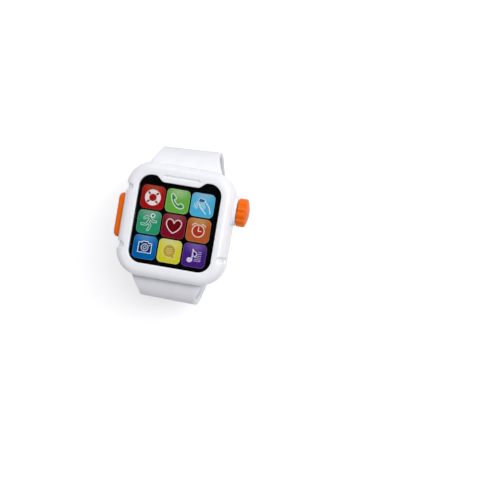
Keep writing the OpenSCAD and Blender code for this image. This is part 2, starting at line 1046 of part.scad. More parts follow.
module crown_switch_plunger() {
    color("white")
        rod(slider_x - plunger_out - plunger_in, slider_x, plunger_r, crown_y, board_z - switch_h / 2);
}

module side_switch() {
    color([0.12, 0.12, 0.12])
        switch_body(button_post_x + plunger_out, -1, 0);
}

module side_switch_plunger() {
    color("white")
        rod(button_post_x, button_post_x + plunger_out + plunger_in, plunger_r, 0, board_z - switch_h / 2);
}

module side_button() {
    half_len = (button_l - button_w) / 2;
    color("orangered")
        translate([0, 0, mid_z]) {
            pill(-half_w - button_out, flange_x + flange_over, half_len, button_w / 2, button_round);
            translate([flange_x, 0, 0])
                rotate([0, 90, 0])
                    rotate([0, 0, 90])
                        linear_extrude(flange_t)
                            stadium(half_len, button_w / 2 + flange_side);
            rod(flange_x, button_post_x, button_post_r);
        }
}

// Battery bay

module battery_cells() {
    color("silver")
        for (i = [-1:1])
            translate([i * cell_pitch, bay_y, cell_z + (i == 0 ? cell_h : 0)])
                mirror([0, 0, i == 0 ? 1 : 0]) {
                    cylinder(h = cell_h - cell_cap_h, r = cell_d / 2);
                    cylinder(h = cell_h, r = cell_cap_d / 2);
                }
}

module contact_plate(x, half_len) {
    plate_w = 5;
    bump_z = cell_z + cell_h + slip;
    translate([x, bay_y, board_z - contact_t])
        linear_extrude(contact_t)
            square([2 * half_len, plate_w], center = true);
    for (sx = half_len > plate_w ? [-1, 1] : [0])
        translate([x + sx * cell_pitch / 2, bay_y, bump_z])
            cylinder(h = board_z - bump_z, r = contact_bump_r);
}

module contact_negative() {
    color("goldenrod")
        contact_plate(-cell_pitch, contact_pad_r);
}

module contact_bridge() {
    color("goldenrod")
        contact_plate(cell_pitch / 2, cell_pitch / 2 + contact_bump_r);
}

module contact_positive() {
    foot_y = bay_y + cell_d / 2 + slip;
    color("goldenrod")
        translate([cell_pitch - contact_w / 2, foot_y, part_z + loose])
            cube([contact_w, contact_t, board_z - part_z - loose]);
}

module door_contact() {
    color("goldenrod")
        translate([-cell_pitch / 2, bay_y, back_z + door_t])
            linear_extrude(contact_t)
                stadium(cell_pitch / 2, contact_pad_r);
}

module battery_door() {
    color("whitesmoke")
        difference() {
            slab(back_z, back_z + door_t)
                door_plan(0);
            translate([0, ear_y, back_z - over]) {
                cylinder(h = over + door_t * head_share, r = screw_head_d / 2 + fit);
                cylinder(h = door_t + 2 * over, r = screw_d / 2 + fit);
            }
        }
}

module door_screw() {
    head_h = door_t * head_share - fit;
    color("silver")
        translate([0, ear_y, back_z + fit])
            difference() {
                union() {
                    cylinder(h = head_h, r = screw_head_d / 2);
                    cylinder(h = door_screw_l, r = screw_d / 2);
                }
                for (turn = [0, 90])
                    rotate([0, 0, turn])
                        cube([cross_l, cross_w, head_h], center = true);
            }
}

// Strap

module strap_hole(path, s, side) {
    at = path_at(path, s, strap_start);
    translate([0, side * at[0], at[1]])
        rotate([side * (180 - at[2]), 0, 0])
            cylinder(h = strap_t + 2 * over, r = strap_hole_r, center = true);
}

module tongue_holes(side) {
    for (sx = [-1, 1])
        translate([sx * post_x, side * post_y, strap_mid_z])
            cylinder(h = strap_t + 2 * over, r = post_d / 2 + fit, center = true);
}

module strap_short() {
    flat_mid = short_len - short_tip;
    color("whitesmoke")
        difference() {
            strap_solid(short_path, short_tip_r, 1);
            tongue_holes(1);
            for (k = [-1, 1])
                strap_hole(short_path, flat_mid + k * hole_pitch, 1);
            slab(-over, clasp_t + slip)
                plan(clasp_w / 2 + fit, clasp_l / 2 + fit, clasp_corner_r + fit);
        }
}

module strap_long() {
    flat_mid = long_len - arc_len(tail_r, tail_turn) - short_flat_end;
    color("whitesmoke")
        difference() {
            strap_solid(long_path, long_tip_r, -1);
            tongue_holes(-1);
            for (k = [-holes_each_way:holes_each_way])
                strap_hole(long_path, flat_mid + k * hole_pitch, -1);
        }
}

module strap_clasp() {
    head_over = 0.5;
    head_h = 0.9;
    top = inner_layer_z + strap_t + fit;
    color("whitesmoke") {
        slab(0, clasp_t)
            plan(clasp_w / 2, clasp_l / 2, clasp_corner_r);
        for (k = [-1, 1])
            translate([0, k * hole_pitch, 0]) {
                cylinder(h = top + head_h, r = stud_d / 2);
                translate([0, 0, top])
                    cylinder(h = head_h, r1 = stud_d / 2 + head_over, r2 = stud_d / 2);
            }
    }
}

front_shell();
back_cover();
screen_lens();
icon_card();
light_spacer();
circuit_board();
leds();
sound_chip();
speaker();
speaker_leads();
crown_switch();
crown_switch_plunger();
side_switch();
side_switch_plunger();
crown_knob();
crown_stem();
stem_clip();
click_wheel();
crown_slider();
click_spring();
side_button();
battery_cells();
contact_negative();
contact_positive();
contact_bridge();
door_contact();
battery_door();
door_screw();
case_screws();
strap_short();
strap_long();
strap_clasp();
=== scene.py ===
"""Dresses the toy watch: finer mouldings, the printed screen, finishes, light and camera."""
from math import atan2, ceil, cos, degrees, hypot, pi, radians, sin, sqrt

import bpy
import bmesh
import numpy as np
from mathutils import Matrix, Vector


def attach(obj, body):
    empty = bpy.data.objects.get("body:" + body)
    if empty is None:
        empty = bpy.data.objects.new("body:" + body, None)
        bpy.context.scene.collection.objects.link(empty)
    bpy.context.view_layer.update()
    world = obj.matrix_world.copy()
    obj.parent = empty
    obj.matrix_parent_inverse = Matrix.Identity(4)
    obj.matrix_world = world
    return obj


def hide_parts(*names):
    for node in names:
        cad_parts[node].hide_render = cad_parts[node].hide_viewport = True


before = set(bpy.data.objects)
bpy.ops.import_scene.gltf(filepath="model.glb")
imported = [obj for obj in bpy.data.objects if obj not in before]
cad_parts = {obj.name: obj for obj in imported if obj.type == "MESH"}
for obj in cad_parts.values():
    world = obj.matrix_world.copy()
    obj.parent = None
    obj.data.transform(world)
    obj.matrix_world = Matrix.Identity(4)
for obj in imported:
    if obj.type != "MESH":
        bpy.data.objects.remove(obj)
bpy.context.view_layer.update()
MM = 0.001

# Sizes in millimetres, as in the part's source: Z is a height above the table, X and Y are distances
# from the middle of the watch, and HALF is half a length.

# Case: the core is the rectangle that the corner radius runs round
HALF_W, HALF_L, CORNER_R = 22.1, 23.1, 10.4
CORE_X, CORE_Y = HALF_W - CORNER_R, HALF_L - CORNER_R
PART_Z, MID_Z, TOP_Z = 42.4, 47.5, 54.0
FRAME_W, WALL, EDGE_R, CROWNING_R, LIP = 5.3, 2.0, 3.2, 12.0, 0.35
INNER_R = CORNER_R - FRAME_W
CAVITY_R = CORNER_R - WALL
POST_X, POST_Y, POST_R, POST_BORE_R = 9.5, 20.2, 1.8, 1.0
SILL_Z, POST_BORE_Z = 43.2, 49.2

# Screen
CARD_Z, CARD_TOP_Z, LENS_Z, LENS_TOP_Z, LENS_RIM = 51.2, 51.5, 51.6, 52.8, 1.2
CARD_HALF_W, CARD_HALF_L, CARD_CORNER_R = 17.4, 18.4, 5.7

# The frame's tab at 12 o'clock with its fine slit, and the grip notches over the frame's edge
TAB_REACH, TAB_TIP, TAB_ROOT, TAB_ROUND = 2.3, 7.4, 10.0, 1.2
SLIT_Y, SLIT_L, SLIT_W, SLIT_TOP_Z, SLIT_DEPTH = 17.9, 14.8, 1.0, 53.92, 0.6
NOTCH_Y, NOTCH_W, NOTCH_REACH, NOTCH_DEPTH, NOTCH_FLOOR_Z = 11.7, 2.6, 3.2, 0.9, 47.2

# Crown with its flutes, the raised pad round the stem, and the stem's holes
CROWN_X, CROWN_Y, CROWN_Z, CROWN_R, CROWN_L, CROWN_DOME = 23.7, 8.7, 47.9, 5.7, 3.6, 1.0
FLUTES, FLUTE_R, FLUTE_OUT, FLUTE_TURN, CROWN_SOFT = 13, 0.8, 0.24, 7.9, 0.8
PAD_HALF, PAD_R, PAD_X, PAD_SOFT = 1.56, 4.39, 23.3, 0.3
STEM_HOLE_R, KNOB_HOLE_R, KNOB_HOLE_L, BEARING_R, BEARING_L = 1.55, 1.53, 2.34, 3.1, 2.5

# Side button with the flange behind the wall and the foot on its switch
BUTTON_HALF, BUTTON_R, BUTTON_X, BUTTON_ROUND, BUTTON_GAP = 6.6, 2.5, -25.0, 1.8, 0.15
FLANGE_X, FLANGE_T, FLANGE_OUT, BARREL_X = -19.95, 0.7, 0.7, (-21.0, -22.0)
FOOT_X, FOOT_END_X, FOOT_R = -19.6, -17.15, 1.5

# Strap: out of its slot, round a bend, down a leaning side and round to the flat under the wrist
STRAP_T, STRAP_EDGE, STRAP_Z, STRAP_BEND_Y = 2.4, 0.9, 44.5, 31.4
SLOT_HALF, SLOT_TOP_Z, TONGUE_END, TONGUE_HALF = 14.6, 45.8, 17.4, 12.4
BEND_R, LOOP_R, TAIL_R, LEAN = 6.5, 16.0, 13.3, 12.0
BEND_Y = STRAP_BEND_Y - STRAP_T / 2 - BEND_R
SHORT_Z, SHORT_OVER, SHORT_TIP_R = 1.6, 12.5, 5
LONG_Z, LONG_TIP_R, TAIL_TURN = 4.3, 8, 62
HOLE_PITCH, HOLE_R, HOLE_RIM_R, STUD_FROM_END = 4.5, 1.6, 1.9, 12.5

# Reach of the halves (1 is at 12 o'clock, -1 at 6 o'clock) to the left and right, and their slant
ROOT_REACH = {1: (15.6, 14.5), -1: (15.6, 14.3)}
BEND_REACH = {1: (12.2, 11.7), -1: (11.6, 11.3)}
LEG_REACH = 11.4
SLANT = {1: 0.05, -1: -0.017}

# Small softened edges, and the gap under which two points are one
SOFT, COVER_SOFT, CLASP_SOFT, MERGE = 0.1, 0.15, 0.2, 0.0005


# Materials
CLOUD_MM, DOT_MM = 9, 0.18


def linear(hex_colour):
    """An sRGB hex colour as the linear numbers that a shader takes."""
    values = [int(hex_colour[i:i + 2], 16) / 255 for i in (1, 3, 5)]
    return [v / 12.92 if v <= 0.04045 else ((v + 0.055) / 1.055) ** 2.4 for v in values] + [1.0]


def join(owner, node, links):
    """Links a node's sockets; each link is (socket, the node or output that it takes)."""
    for name, source in links:
        output = source.outputs[0] if isinstance(source, bpy.types.Node) else source
        owner.node_tree.links.new(node.inputs[name], output)
    return node


def add(owner, kind, settings=(), links=()):
    """Adds one node; settings are (socket, property or stops, value), and links are as in join."""
    node = owner.node_tree.nodes.new("ShaderNode" + kind)
    for name, value in settings:
        if name == "stops":
            for element, (at, colour) in zip(node.color_ramp.elements, value):
                element.position, element.color = at, colour
        elif isinstance(name, str) and hasattr(node, name):
            setattr(node, name, value)
        else:
            node.inputs[name].default_value = value
    return join(owner, node, links)


def start_material(name, **sockets):
    """A new material, its shader with some sockets set, and the places for patterns."""
    material = bpy.data.materials.new(name)
    material.use_nodes = True
    shader = material.node_tree.nodes["Principled BSDF"]
    for socket, value in sockets.items():
        shader.inputs[socket.replace("_", " ")].default_value = value
    return material, shader, add(material, "TexCoord").outputs


def either(material, one, other):
    """1 for a ray of either of two kinds."""
    return add(material, "Math", [("operation", "MAXIMUM")], [(0, one), (1, other)])


def noise(owner, place, size_mm, detail, *more):
    """A noise over a place, with patches about size_mm across."""
    settings = [("Scale", 1 / (size_mm * MM)), ("Detail", detail), *more]
    return add(owner, "TexNoise", settings, [("Vector", place)])


def surface(material, shader, tint, marks, colours, gloss, relief):
    """Colour between two hex colours by tint; gloss (low, high) and relief (strength, mm) by marks."""
    stops = [(0.3, linear(colours[0])), (0.7, linear(colours[1]))]
    colour = add(material, "ValToRGB", [("stops", stops)], [("Fac", tint)])
    rough = add(material, "MapRange", [("To Min", gloss[0]), ("To Max", gloss[1])], [("Value", marks)])
    bump = add(material, "Bump", [("Strength", relief[0]), ("Distance", relief[1] * MM)], [("Height", marks)])
    join(material, shader, [("Base Color", colour), ("Roughness", rough), ("Normal", bump)])
    return material


def moulded(name, colour, shade, rough, grain_mm, grain_height_mm, **sockets):
    """Moulded plastic: a fine grain, and faint flow clouds in its colour."""
    material, shader, place = start_material(name, **sockets)
    clouds = noise(material, place["Object"], CLOUD_MM, 3.0, ("Roughness", 0.55))
    grain = noise(material, place["Object"], grain_mm, 2.0)
    return surface(material, shader, clouds, grain, (shade, colour), (rough - 0.05, rough + 0.07),
                   (0.5, grain_height_mm))


def metal(name, colour, shade, rough, scratch_mm, stretch=(1, 1, 1)):
    """Metal with fine marks from how it was made, drawn out along one direction by stretch."""
    material, shader, place = start_material(name, Metallic=1.0)
    drawn = add(material, "Mapping", [("Scale", stretch)], [("Vector", place["Object"])])
    marks = noise(material, drawn, scratch_mm, 4.0)
    return surface(material, shader, marks, marks, (shade, colour), (rough - 0.08, rough + 0.12), (0.3, 0.01))


# White ABS, moulded in a satin tool: bright, with soft highlights on the rounded frame.
white_plastic = moulded("white_abs", "#F2F2F7", "#EFF0F5", 0.22, 0.35, 0.002, IOR=1.53)
# White TPU strap: a little softer and duller than the case.
strap_plastic = moulded("white_tpu", "#EFEFF4", "#EAEAF1", 0.46, 0.3, 0.008, IOR=1.5)
# Orange ABS of the crown and the button: strong flat colour with a weak satin sheen.
orange_plastic = moulded("orange_abs", "#F57000", "#F06900", 0.34, 0.35, 0.003, IOR=1.53,
                         Specular_IOR_Level=0.2)
# Natural nylon of the click wheel, slider, plungers and spacer: milky and a little yellow.
inner_plastic = moulded("natural_nylon", "#E3DDCB", "#D9D1BC", 0.5, 0.4, 0.01, IOR=1.53)
# Black epoxy of the switches and the sound chip: dull, with a fine grain.
black_plastic = moulded("black_epoxy", "#1B1B1D", "#151517", 0.55, 0.25, 0.01, IOR=1.5)
# Turned and pressed steel of the stem, clip, spring and screws: bright with fine marks.
steel = metal("turned_steel", "#C9CACC", "#A9ABAE", 0.28, 0.3, (0.1, 1, 1))
# Pressed nickel-plated cans of the button cells: warm and a little smoother.
cell_steel = metal("plated_steel", "#D3D2CD", "#BDBBB4", 0.24, 0.5)
# Sprung brass sheet of the contacts: yellow, with the marks of rolling.
contact_metal = metal("sprung_brass", "#D8B36A", "#B98F45", 0.3, 0.4, (1, 0.15, 1))
# Green solder mask over the board: satin, and clouded a little darker.
board_green = moulded("solder_mask", "#1F6E3C", "#185B31", 0.32, 0.5, 0.002, IOR=1.5)
# Clear pale resin of the LEDs: glossy and half see-through.
led_resin = moulded("led_resin", "#F1ECCF", "#E8DFB6", 0.12, 0.6, 0.001, IOR=1.54, Transmission_Weight=0.4)
# Soft red PVC sleeve of the speaker's two leads.
wire_red = moulded("red_pvc", "#A9211D", "#951A17", 0.42, 0.3, 0.004, IOR=1.52)
# Dull pressed tin of the speaker's can.
speaker_tin = metal("pressed_tin", "#9B9C9F", "#808185", 0.38, 0.4)


# Making and placing a piece
def clean_mesh(name, points, faces):
    """A mesh from points in millimetres, with doubles merged and its faces turned outwards."""
    mesh = bpy.data.meshes.new(name)
    mesh.from_pydata([tuple(float(v) * MM for v in p) for p in points], [], [tuple(f) for f in faces])
    mesh.validate()
    shape = bmesh.new()
    shape.from_mesh(mesh)
    bmesh.ops.remove_doubles(shape, verts=shape.verts, dist=MERGE * MM)
    bmesh.ops.recalc_face_normals(shape, faces=shape.faces)
    shape.to_mesh(mesh)
    shape.free()
    return mesh


def soften(piece, sharp):
    """Smooth shading, with edges sharper than so many degrees kept crisp."""
    piece.data.shade_smooth()
    piece.data.set_sharp_from_angle(angle=radians(sharp))


def new_object(name, data):
    """A named object in the scene."""
    item = bpy.data.objects.new(name, data)
    bpy.context.scene.collection.objects.link(item)
    return item


def place_piece(name, mesh, body, replaces=(), place=Matrix()):
    """Puts a mesh in the scene as a named piece that rides on a body."""
    piece = new_object(name, mesh)
    piece.matrix_world = place
    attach(piece, body)
    if replaces:
        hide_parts(*replaces)
    return piece


def make_piece(name, shape, material, body, replaces=(), sharp=35, at=(0, 0, 0)):
    """A smooth piece from a (points, faces) shape in millimetres."""
    points, faces = shape
    mesh = clean_mesh(name, moved(points, at), faces)
    mesh.materials.append(material)
    piece = place_piece(name, mesh, body, replaces)
    soften(piece, sharp)
    return piece


def softened_copy(name, copy_name, body, radius):
    """A copy of a white CAD piece with its sharp edges rounded a little."""
    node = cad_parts[name]
    mesh = node.data.copy()
    shape = bmesh.new()
    shape.from_mesh(mesh)
    bmesh.ops.remove_doubles(shape, verts=shape.verts, dist=2 * MERGE * MM)
    bmesh.ops.dissolve_limit(shape, angle_limit=radians(1), verts=shape.verts, edges=shape.edges)
    corners = [e for e in shape.edges if len(e.link_faces) == 2 and e.calc_face_angle(0) > radians(30)]
    bmesh.ops.bevel(shape, geom=corners, offset=radius * MM, offset_type="OFFSET", segments=2, profile=0.5,
                    affect="EDGES", clamp_overlap=True)
    bmesh.ops.recalc_face_normals(shape, faces=shape.faces)
    shape.to_mesh(mesh)
    shape.free()
    mesh.materials.clear()
    mesh.materials.append(white_plastic)
    soften(place_piece(copy_name, mesh, body, [name], node.matrix_world.copy()), 40)


def cut(piece, shape, sharp=35):
    """Cuts a closed (points, faces) shape out of a piece."""
    tool = new_object("tool", clean_mesh("tool", *shape))
    step = piece.modifiers.new("cut", "BOOLEAN")
    step.operation, step.solver, step.object = "DIFFERENCE", "EXACT", tool
    bpy.context.view_layer.update()
    result = bpy.data.meshes.new_from_object(piece.evaluated_get(bpy.context.evaluated_depsgraph_get()))
    piece.modifiers.clear()
    piece.data = result
    bpy.data.objects.remove(tool)
    soften(piece, sharp)


# Shapes, as outlines and as (points, faces)
def moved(points, to=(0, 0, 0), upright=False):
    """Points moved to a place; upright turns the X axis of a turned shape to Z."""
    if upright:
        points = [(y, z, x) for x, y, z in points]
    return [(x + to[0], y + to[1], z + to[2]) for x, y, z in points]


def grid_faces(rows, columns, close_rows=False):
    """Quads of a grid of points stored row after row, each row a closed ring."""
    faces = []
    for r in range(rows if close_rows else rows - 1):
        for c in range(columns):
            beside, above = (c + 1) % columns, (r + 1) % rows * columns
            faces.append((r * columns + c, r * columns + beside, above + beside, above + c))
    return faces


def capped(points, count):
    """Rings of count points each, joined and closed by a face at either end."""
    faces = grid_faces(len(points) // count, count)
    faces += [tuple(range(count)), tuple(range(len(points) - 1, len(points) - count - 1, -1))]
    return points, faces


def turned(profile, steps=64):
    """A turned shape round X from (along, radius) points; a radius of 0 closes an end."""
    points = []
    for x, r in profile:
        for k in range(steps):
            turn = 2 * pi * k / steps
            points.append((x, r * cos(turn), r * sin(turn)))
    return points, grid_faces(len(profile), steps)


def prism(outline, low, high, axis="z"):
    """A closed prism over an outline of (a, b) points, along the named axis."""
    order = {"z": (0, 1, 2), "x": (2, 0, 1), "y": (0, 2, 1)}[axis]
    points = [tuple((a, b, level)[k] for k in order) for level in (low, high) for a, b in outline]
    n = len(outline)
    faces = [tuple(range(n)), tuple(range(2 * n - 1, n - 1, -1))]
    faces += [(k, (k + 1) % n, n + (k + 1) % n, n + k) for k in range(n)]
    return points, faces


def arc(cx, cy, r, start=0, end=360, steps=48, squash=1):
    """Points along an arc in degrees; a whole turn leaves out its last point."""
    whole = end - start == 360
    turns = [radians(start + (end - start) * k / steps) for k in range(steps if whole else steps + 1)]
    return [(cx + r * cos(t), cy + r * squash * sin(t)) for t in turns]


def stadium(half_length, radius, steps=32, centre=(0, 0)):
    """Outline of a round-ended slot whose length lies along the first axis."""
    outline = []
    for side in (1, -1):
        for a, b in arc(half_length, 0, radius, -90, 90, steps):
            outline.append((centre[0] + side * a, centre[1] + side * b))
    return outline


def pad_rings(levels, half, radius, steps=40):
    """A round-ended pad lying along Y, from rings at (x, growth of the outline), closed at both ends."""
    points = [(x, a, b) for x, grow in levels for a, b in stadium(half, radius + grow, steps)]
    return capped(points, 2 * (steps + 1))


def recess(start, end, half_width, depth, place):
    """A tool for a round-ended recess with soft rims; place puts (along, across, depth) on a surface."""
    steps = 30
    straight = [start + (end - start) * k / steps for k in range(1, steps)]
    turns = np.linspace(0, pi, steps + 1)
    # outline points as (along, across, and the direction inwards)
    outline = [(end + start - at, half_width, 0.0, -1.0) for at in straight]
    outline += [(start - half_width * sin(t), half_width * cos(t), sin(t), -cos(t)) for t in turns]
    outline += [(at, -half_width, 0.0, 1.0) for at in straight]
    outline += [(end + half_width * sin(t), -half_width * cos(t), -sin(t), cos(t)) for t in turns]
    # rings as (inward from the outline, depth): down over the rim and out on the floor
    rings = [(half_width, -1.2), (-0.4, -1.2), (-0.4, -0.25), (-0.18, -0.05), (-0.12, 0.01), (-0.05, 0.06),
             (-0.01, 0.13), (0.01, 0.2), (0.05, depth - 0.26), (0.1, depth - 0.14), (0.18, depth - 0.06),
             (0.3, depth - 0.01), (0.42, depth), (half_width, depth)]
    points = [tuple(map(float, place(a + na * inward, b + nb * inward, down)))
              for inward, down in rings for a, b, na, nb in outline]
    return points, grid_faces(len(rings), len(outline))


def ease(value, width):
    """0 to 1 with soft ends as value goes from 0 to width."""
    t = min(1, max(0, value / width))
    return t * t * (3 - 2 * t)


# Front shell
def spread(start, end, spots, coarse, fine, reach):
    """Places from start to end, close together near the spots and wider elsewhere."""
    places, at, way = [start], start, 1 if end > start else -1
    while (end - at) * way > 1e-6:
        near = min([abs(at - spot) for spot in spots] or [9e9])
        share = min(1, max(0, (near - reach) / (3 * reach)))
        at += way * (fine + (coarse - fine) * share)
        places.append(at)
    places[-1] = end
    return places


def case_stations():
    """Stations round the case: (core x, core y, normal x, normal y), anticlockwise from the right side."""
    corners = [(CORE_X, -CORE_Y), (CORE_X, CORE_Y), (-CORE_X, CORE_Y), (-CORE_X, -CORE_Y)]
    normals = [(1, 0), (0, 1), (-1, 0), (0, -1)]
    # they lie closest where the tab's edge turns and round the corners
    tab_corners = [side * edge for side in (1, -1) for edge in (TAB_TIP, TAB_ROOT - 0.8)]
    quarter = pi / 2
    stations = []
    for (x0, y0), (x1, y1), (nx, ny) in zip(corners, corners[1:] + corners[:1], normals):
        along_x = ny != 0
        start, end = (x0, x1) if along_x else (y0, y1)
        spots = tab_corners if ny == 1 else []
        for at in spread(start, end, spots, coarse=0.8, fine=0.3, reach=0.8)[:-1]:
            stations.append((at if along_x else x0, y0 if along_x else at, nx, ny))
        first = atan2(ny, nx)
        for turn in spread(0, quarter, [0, quarter], coarse=0.035, fine=0.012, reach=0.06)[:-1]:
            stations.append((x1, y1, cos(first + turn), sin(first + turn)))
    return stations


def tab_edge(x):
    """Reach of the 12 o'clock tab's free edge at x; a moving average rounds its corners."""
    slope = TAB_REACH / (TAB_ROOT - TAB_TIP)
    samples, width = 6, TAB_ROUND * 0.55
    places = [x + width * k / samples for k in range(-samples, samples + 1)]
    return sum(min(TAB_REACH, max(0.0, (TAB_ROOT - abs(at)) * slope)) for at in places) / len(places)


def frame_section(inner):
    """The frame from the lens up, over and down, as (distance from core, height, normal)."""
    # the crowned top's arc is centred this much further in than the rounded edge's
    shift = 0.6
    edge_r = CORNER_R - EDGE_R
    top_r, top_z = edge_r - shift, TOP_Z - CROWNING_R
    edge_z = top_z + sqrt((CROWNING_R - EDGE_R) ** 2 - shift ** 2)
    lip_z = top_z + sqrt(CROWNING_R ** 2 - (top_r - INNER_R) ** 2)
    tangent = top_r + shift * CROWNING_R / (CROWNING_R - EDGE_R)
    section = [(inner, LENS_TOP_Z, -1, 0), (inner, lip_z - LIP - 0.02, -1, 0)]
    for k in range(1, 6):
        turn = pi - pi / 2 * k / 6
        section.append((inner + LIP + LIP * cos(turn), lip_z - LIP + LIP * sin(turn), cos(turn), sin(turn)))
    # level over the tab, then along the crowned top, with a blend between
    blend = 0.6
    a = inner + LIP
    b = max(a + 0.1, INNER_R - 0.1)
    reaches = [a + (b - a) * k / 6 for k in range(6)] + [b + (tangent - b) * k / 12 for k in range(13)]
    for reach in reaches:
        over = max(reach, INNER_R)
        z = top_z + sqrt(CROWNING_R ** 2 - (over - top_r) ** 2)
        lean = (over - top_r) / CROWNING_R * ease(reach - INNER_R + blend / 2, blend)
        section.append((reach, z, lean, sqrt(1 - lean ** 2)))
    top_turn, edge_steps = atan2(edge_z - top_z, edge_r - top_r), 28
    for k in range(1, edge_steps + 1):
        turn = top_turn * (1 - k / edge_steps)
        section.append((edge_r + EDGE_R * cos(turn), edge_z + EDGE_R * sin(turn), cos(turn), sin(turn)))
    # the plain wall, and its softened lower rim
    section += [(CORNER_R, z, 1, 0) for z in (50.0, 49.0, 48.0, 47.0, 46.0, 44.5, PART_Z + 0.16)]
    section += [(CORNER_R - 0.045, PART_Z + 0.045, 0.7, -0.7), (CORNER_R - 0.15, PART_Z, 0, -1)]
    return section


def cut_notches(shell):
    """Grip notches over the frame's edge: two on the button's side, one below the crown."""
    outer = [row for row in frame_section(INNER_R) if row[0] > INNER_R + 1 and row[1] > NOTCH_FLOOR_Z - 2]
    way = [0.0]
    for (r0, z0, _, _), (r1, z1, _, _) in zip(outer, outer[1:]):
        way.append(way[-1] + hypot(r1 - r0, z1 - z0))
    # the reach grows with the way only down to the rounded edge's foot
    edge_foot_z = 51
    over = [row[0] for row in outer if row[1] > edge_foot_z]
    first = np.interp(HALF_W - NOTCH_REACH + NOTCH_W / 2 - CORE_X, over, way[:len(over)])
    length = way[-1] - first - (NOTCH_FLOOR_Z - outer[-1][1]) - NOTCH_W / 2
    for side, at in ((-1, NOTCH_Y), (-1, -NOTCH_Y), (1, -NOTCH_Y)):
        def over_edge(along, across, depth):
            reach, z, nr, nz = (np.interp(first + along, way, [row[k] for row in outer]) for k in range(4))
            return side * (CORE_X + reach - depth * nr), at + across, z - depth * nz
        cut(shell, recess(0, length, NOTCH_W / 2, NOTCH_DEPTH, over_edge), sharp=40)


def build_front_shell():
    """The moulded front: raised frame, tab, notches, slit, and the openings in its walls."""
    chamfer, slot_chamfer = 0.8, 0.3
    hidden = [(CAVITY_R, PART_Z), (CAVITY_R, LENS_Z - chamfer), (CAVITY_R - chamfer, LENS_Z),
              (INNER_R + LENS_RIM, LENS_Z), (INNER_R + LENS_RIM, LENS_TOP_Z)]
    stations, points = case_stations(), []
    for x, y, nx, ny in stations:
        section = frame_section(INNER_R - (tab_edge(x) if ny == 1 else 0))
        points += [(x + nx * row[0], y + ny * row[0], row[1]) for row in section + hidden]
    faces = grid_faces(len(stations), len(points) // len(stations), close_rows=True)
    shell = make_piece("front_shell_moulding", (points, faces), white_plastic, "case",
                       ["front_shell"], sharp=50)
    cut_notches(shell)
    half = (SLIT_L - SLIT_W) / 2
    cut(shell, recess(-half, half, SLIT_W / 2, SLIT_DEPTH,
                      lambda x, y, depth: (x, SLIT_Y + y, SLIT_TOP_Z - depth)), sharp=40)
    window = stadium(BUTTON_HALF, BUTTON_R + BUTTON_GAP, centre=(0, MID_Z))
    cut(shell, prism(window, -HALF_W - 2, -HALF_W + 3, "x"), sharp=50)
    inner_half, chamfer_z = SLOT_HALF - slot_chamfer, SLOT_TOP_Z - slot_chamfer
    slot = [(-SLOT_HALF, PART_Z - 1), (SLOT_HALF, PART_Z - 1), (SLOT_HALF, chamfer_z),
            (inner_half, SLOT_TOP_Z), (-inner_half, SLOT_TOP_Z), (-SLOT_HALF, chamfer_z)]
    for side in (1, -1):
        low, high = sorted((side * (HALF_L - WALL - 1), side * (HALF_L + 1)))
        cut(shell, prism(slot, low, high, "y"), sharp=50)
    stem_hole = arc(CROWN_Y, CROWN_Z, STEM_HOLE_R, steps=32)
    cut(shell, prism(stem_hole, HALF_W - 3, HALF_W + 1, "x"), sharp=50)


def build_crown_pad():
    """Raised pad round the stem, and the bearing that carries the stem inside the wall."""
    wall_x = HALF_W - WALL
    levels = [(wall_x, -SOFT), (wall_x + SOFT, 0), (HALF_W, 0)]
    levels += [(PAD_X - PAD_SOFT + PAD_SOFT * sin(t), PAD_SOFT * cos(t) - PAD_SOFT)
               for t in np.linspace(0, 1.57, 7)]
    pad = make_piece("crown_boss", pad_rings(levels, PAD_HALF, PAD_R), white_plastic, "case",
                     at=(0, CROWN_Y, CROWN_Z))
    cut(pad, prism(arc(CROWN_Y, CROWN_Z, STEM_HOLE_R), HALF_W - 4, PAD_X + 1, "x"))
    bearing = [(wall_x - BEARING_L, STEM_HOLE_R), (wall_x - BEARING_L, BEARING_R), (wall_x, BEARING_R),
               (wall_x, STEM_HOLE_R), (wall_x - BEARING_L, STEM_HOLE_R)]
    make_piece("stem_bearing", turned(bearing), white_plastic, "case",
               at=(0, CROWN_Y, CROWN_Z))


def build_screw_posts():
    """Four posts inside the front shell, with blind bores for the case screws."""
    foot_z, top_z = SILL_Z + 0.05, CARD_Z - 0.3
    post = [(foot_z, POST_BORE_R), (foot_z, POST_R - SOFT), (foot_z + SOFT, POST_R), (top_z - SOFT, POST_R),
            (top_z, POST_R - SOFT), (top_z, 0), (POST_BORE_Z, 0), (POST_BORE_Z, POST_BORE_R),
            (foot_z, POST_BORE_R)]
    points, faces = [], []
    for sx in (-1, 1):
        for sy in (-1, 1):
            one, one_faces = turned(post, 32)
            faces += [tuple(i + len(points) for i in f) for f in one_faces]
            points += moved(one, (sx * POST_X, sy * POST_Y, 0), upright=True)
    make_piece("shell_screw_posts", (points, faces), white_plastic, "case")


# Crown and side button
def flute_edge(turn):
    """Distance of the fluted side from the crown's axis, with the grooves' shoulders rounded."""
    shoulder, pitch = 0.12, 2 * pi / FLUTES
    centre = CROWN_R + FLUTE_OUT
    near = (turn - radians(FLUTE_TURN) + pitch / 2) % pitch - pitch / 2
    across = centre * sin(near)
    if abs(across) >= FLUTE_R:
        return CROWN_R
    groove = min(centre * cos(near) - sqrt(FLUTE_R ** 2 - across ** 2), CROWN_R + 1)
    share = min(1, max(0, 0.5 + 0.5 * (CROWN_R - groove) / shoulder))
    return CROWN_R + (groove - CROWN_R) * share - shoulder * share * (1 - share) * 0.5


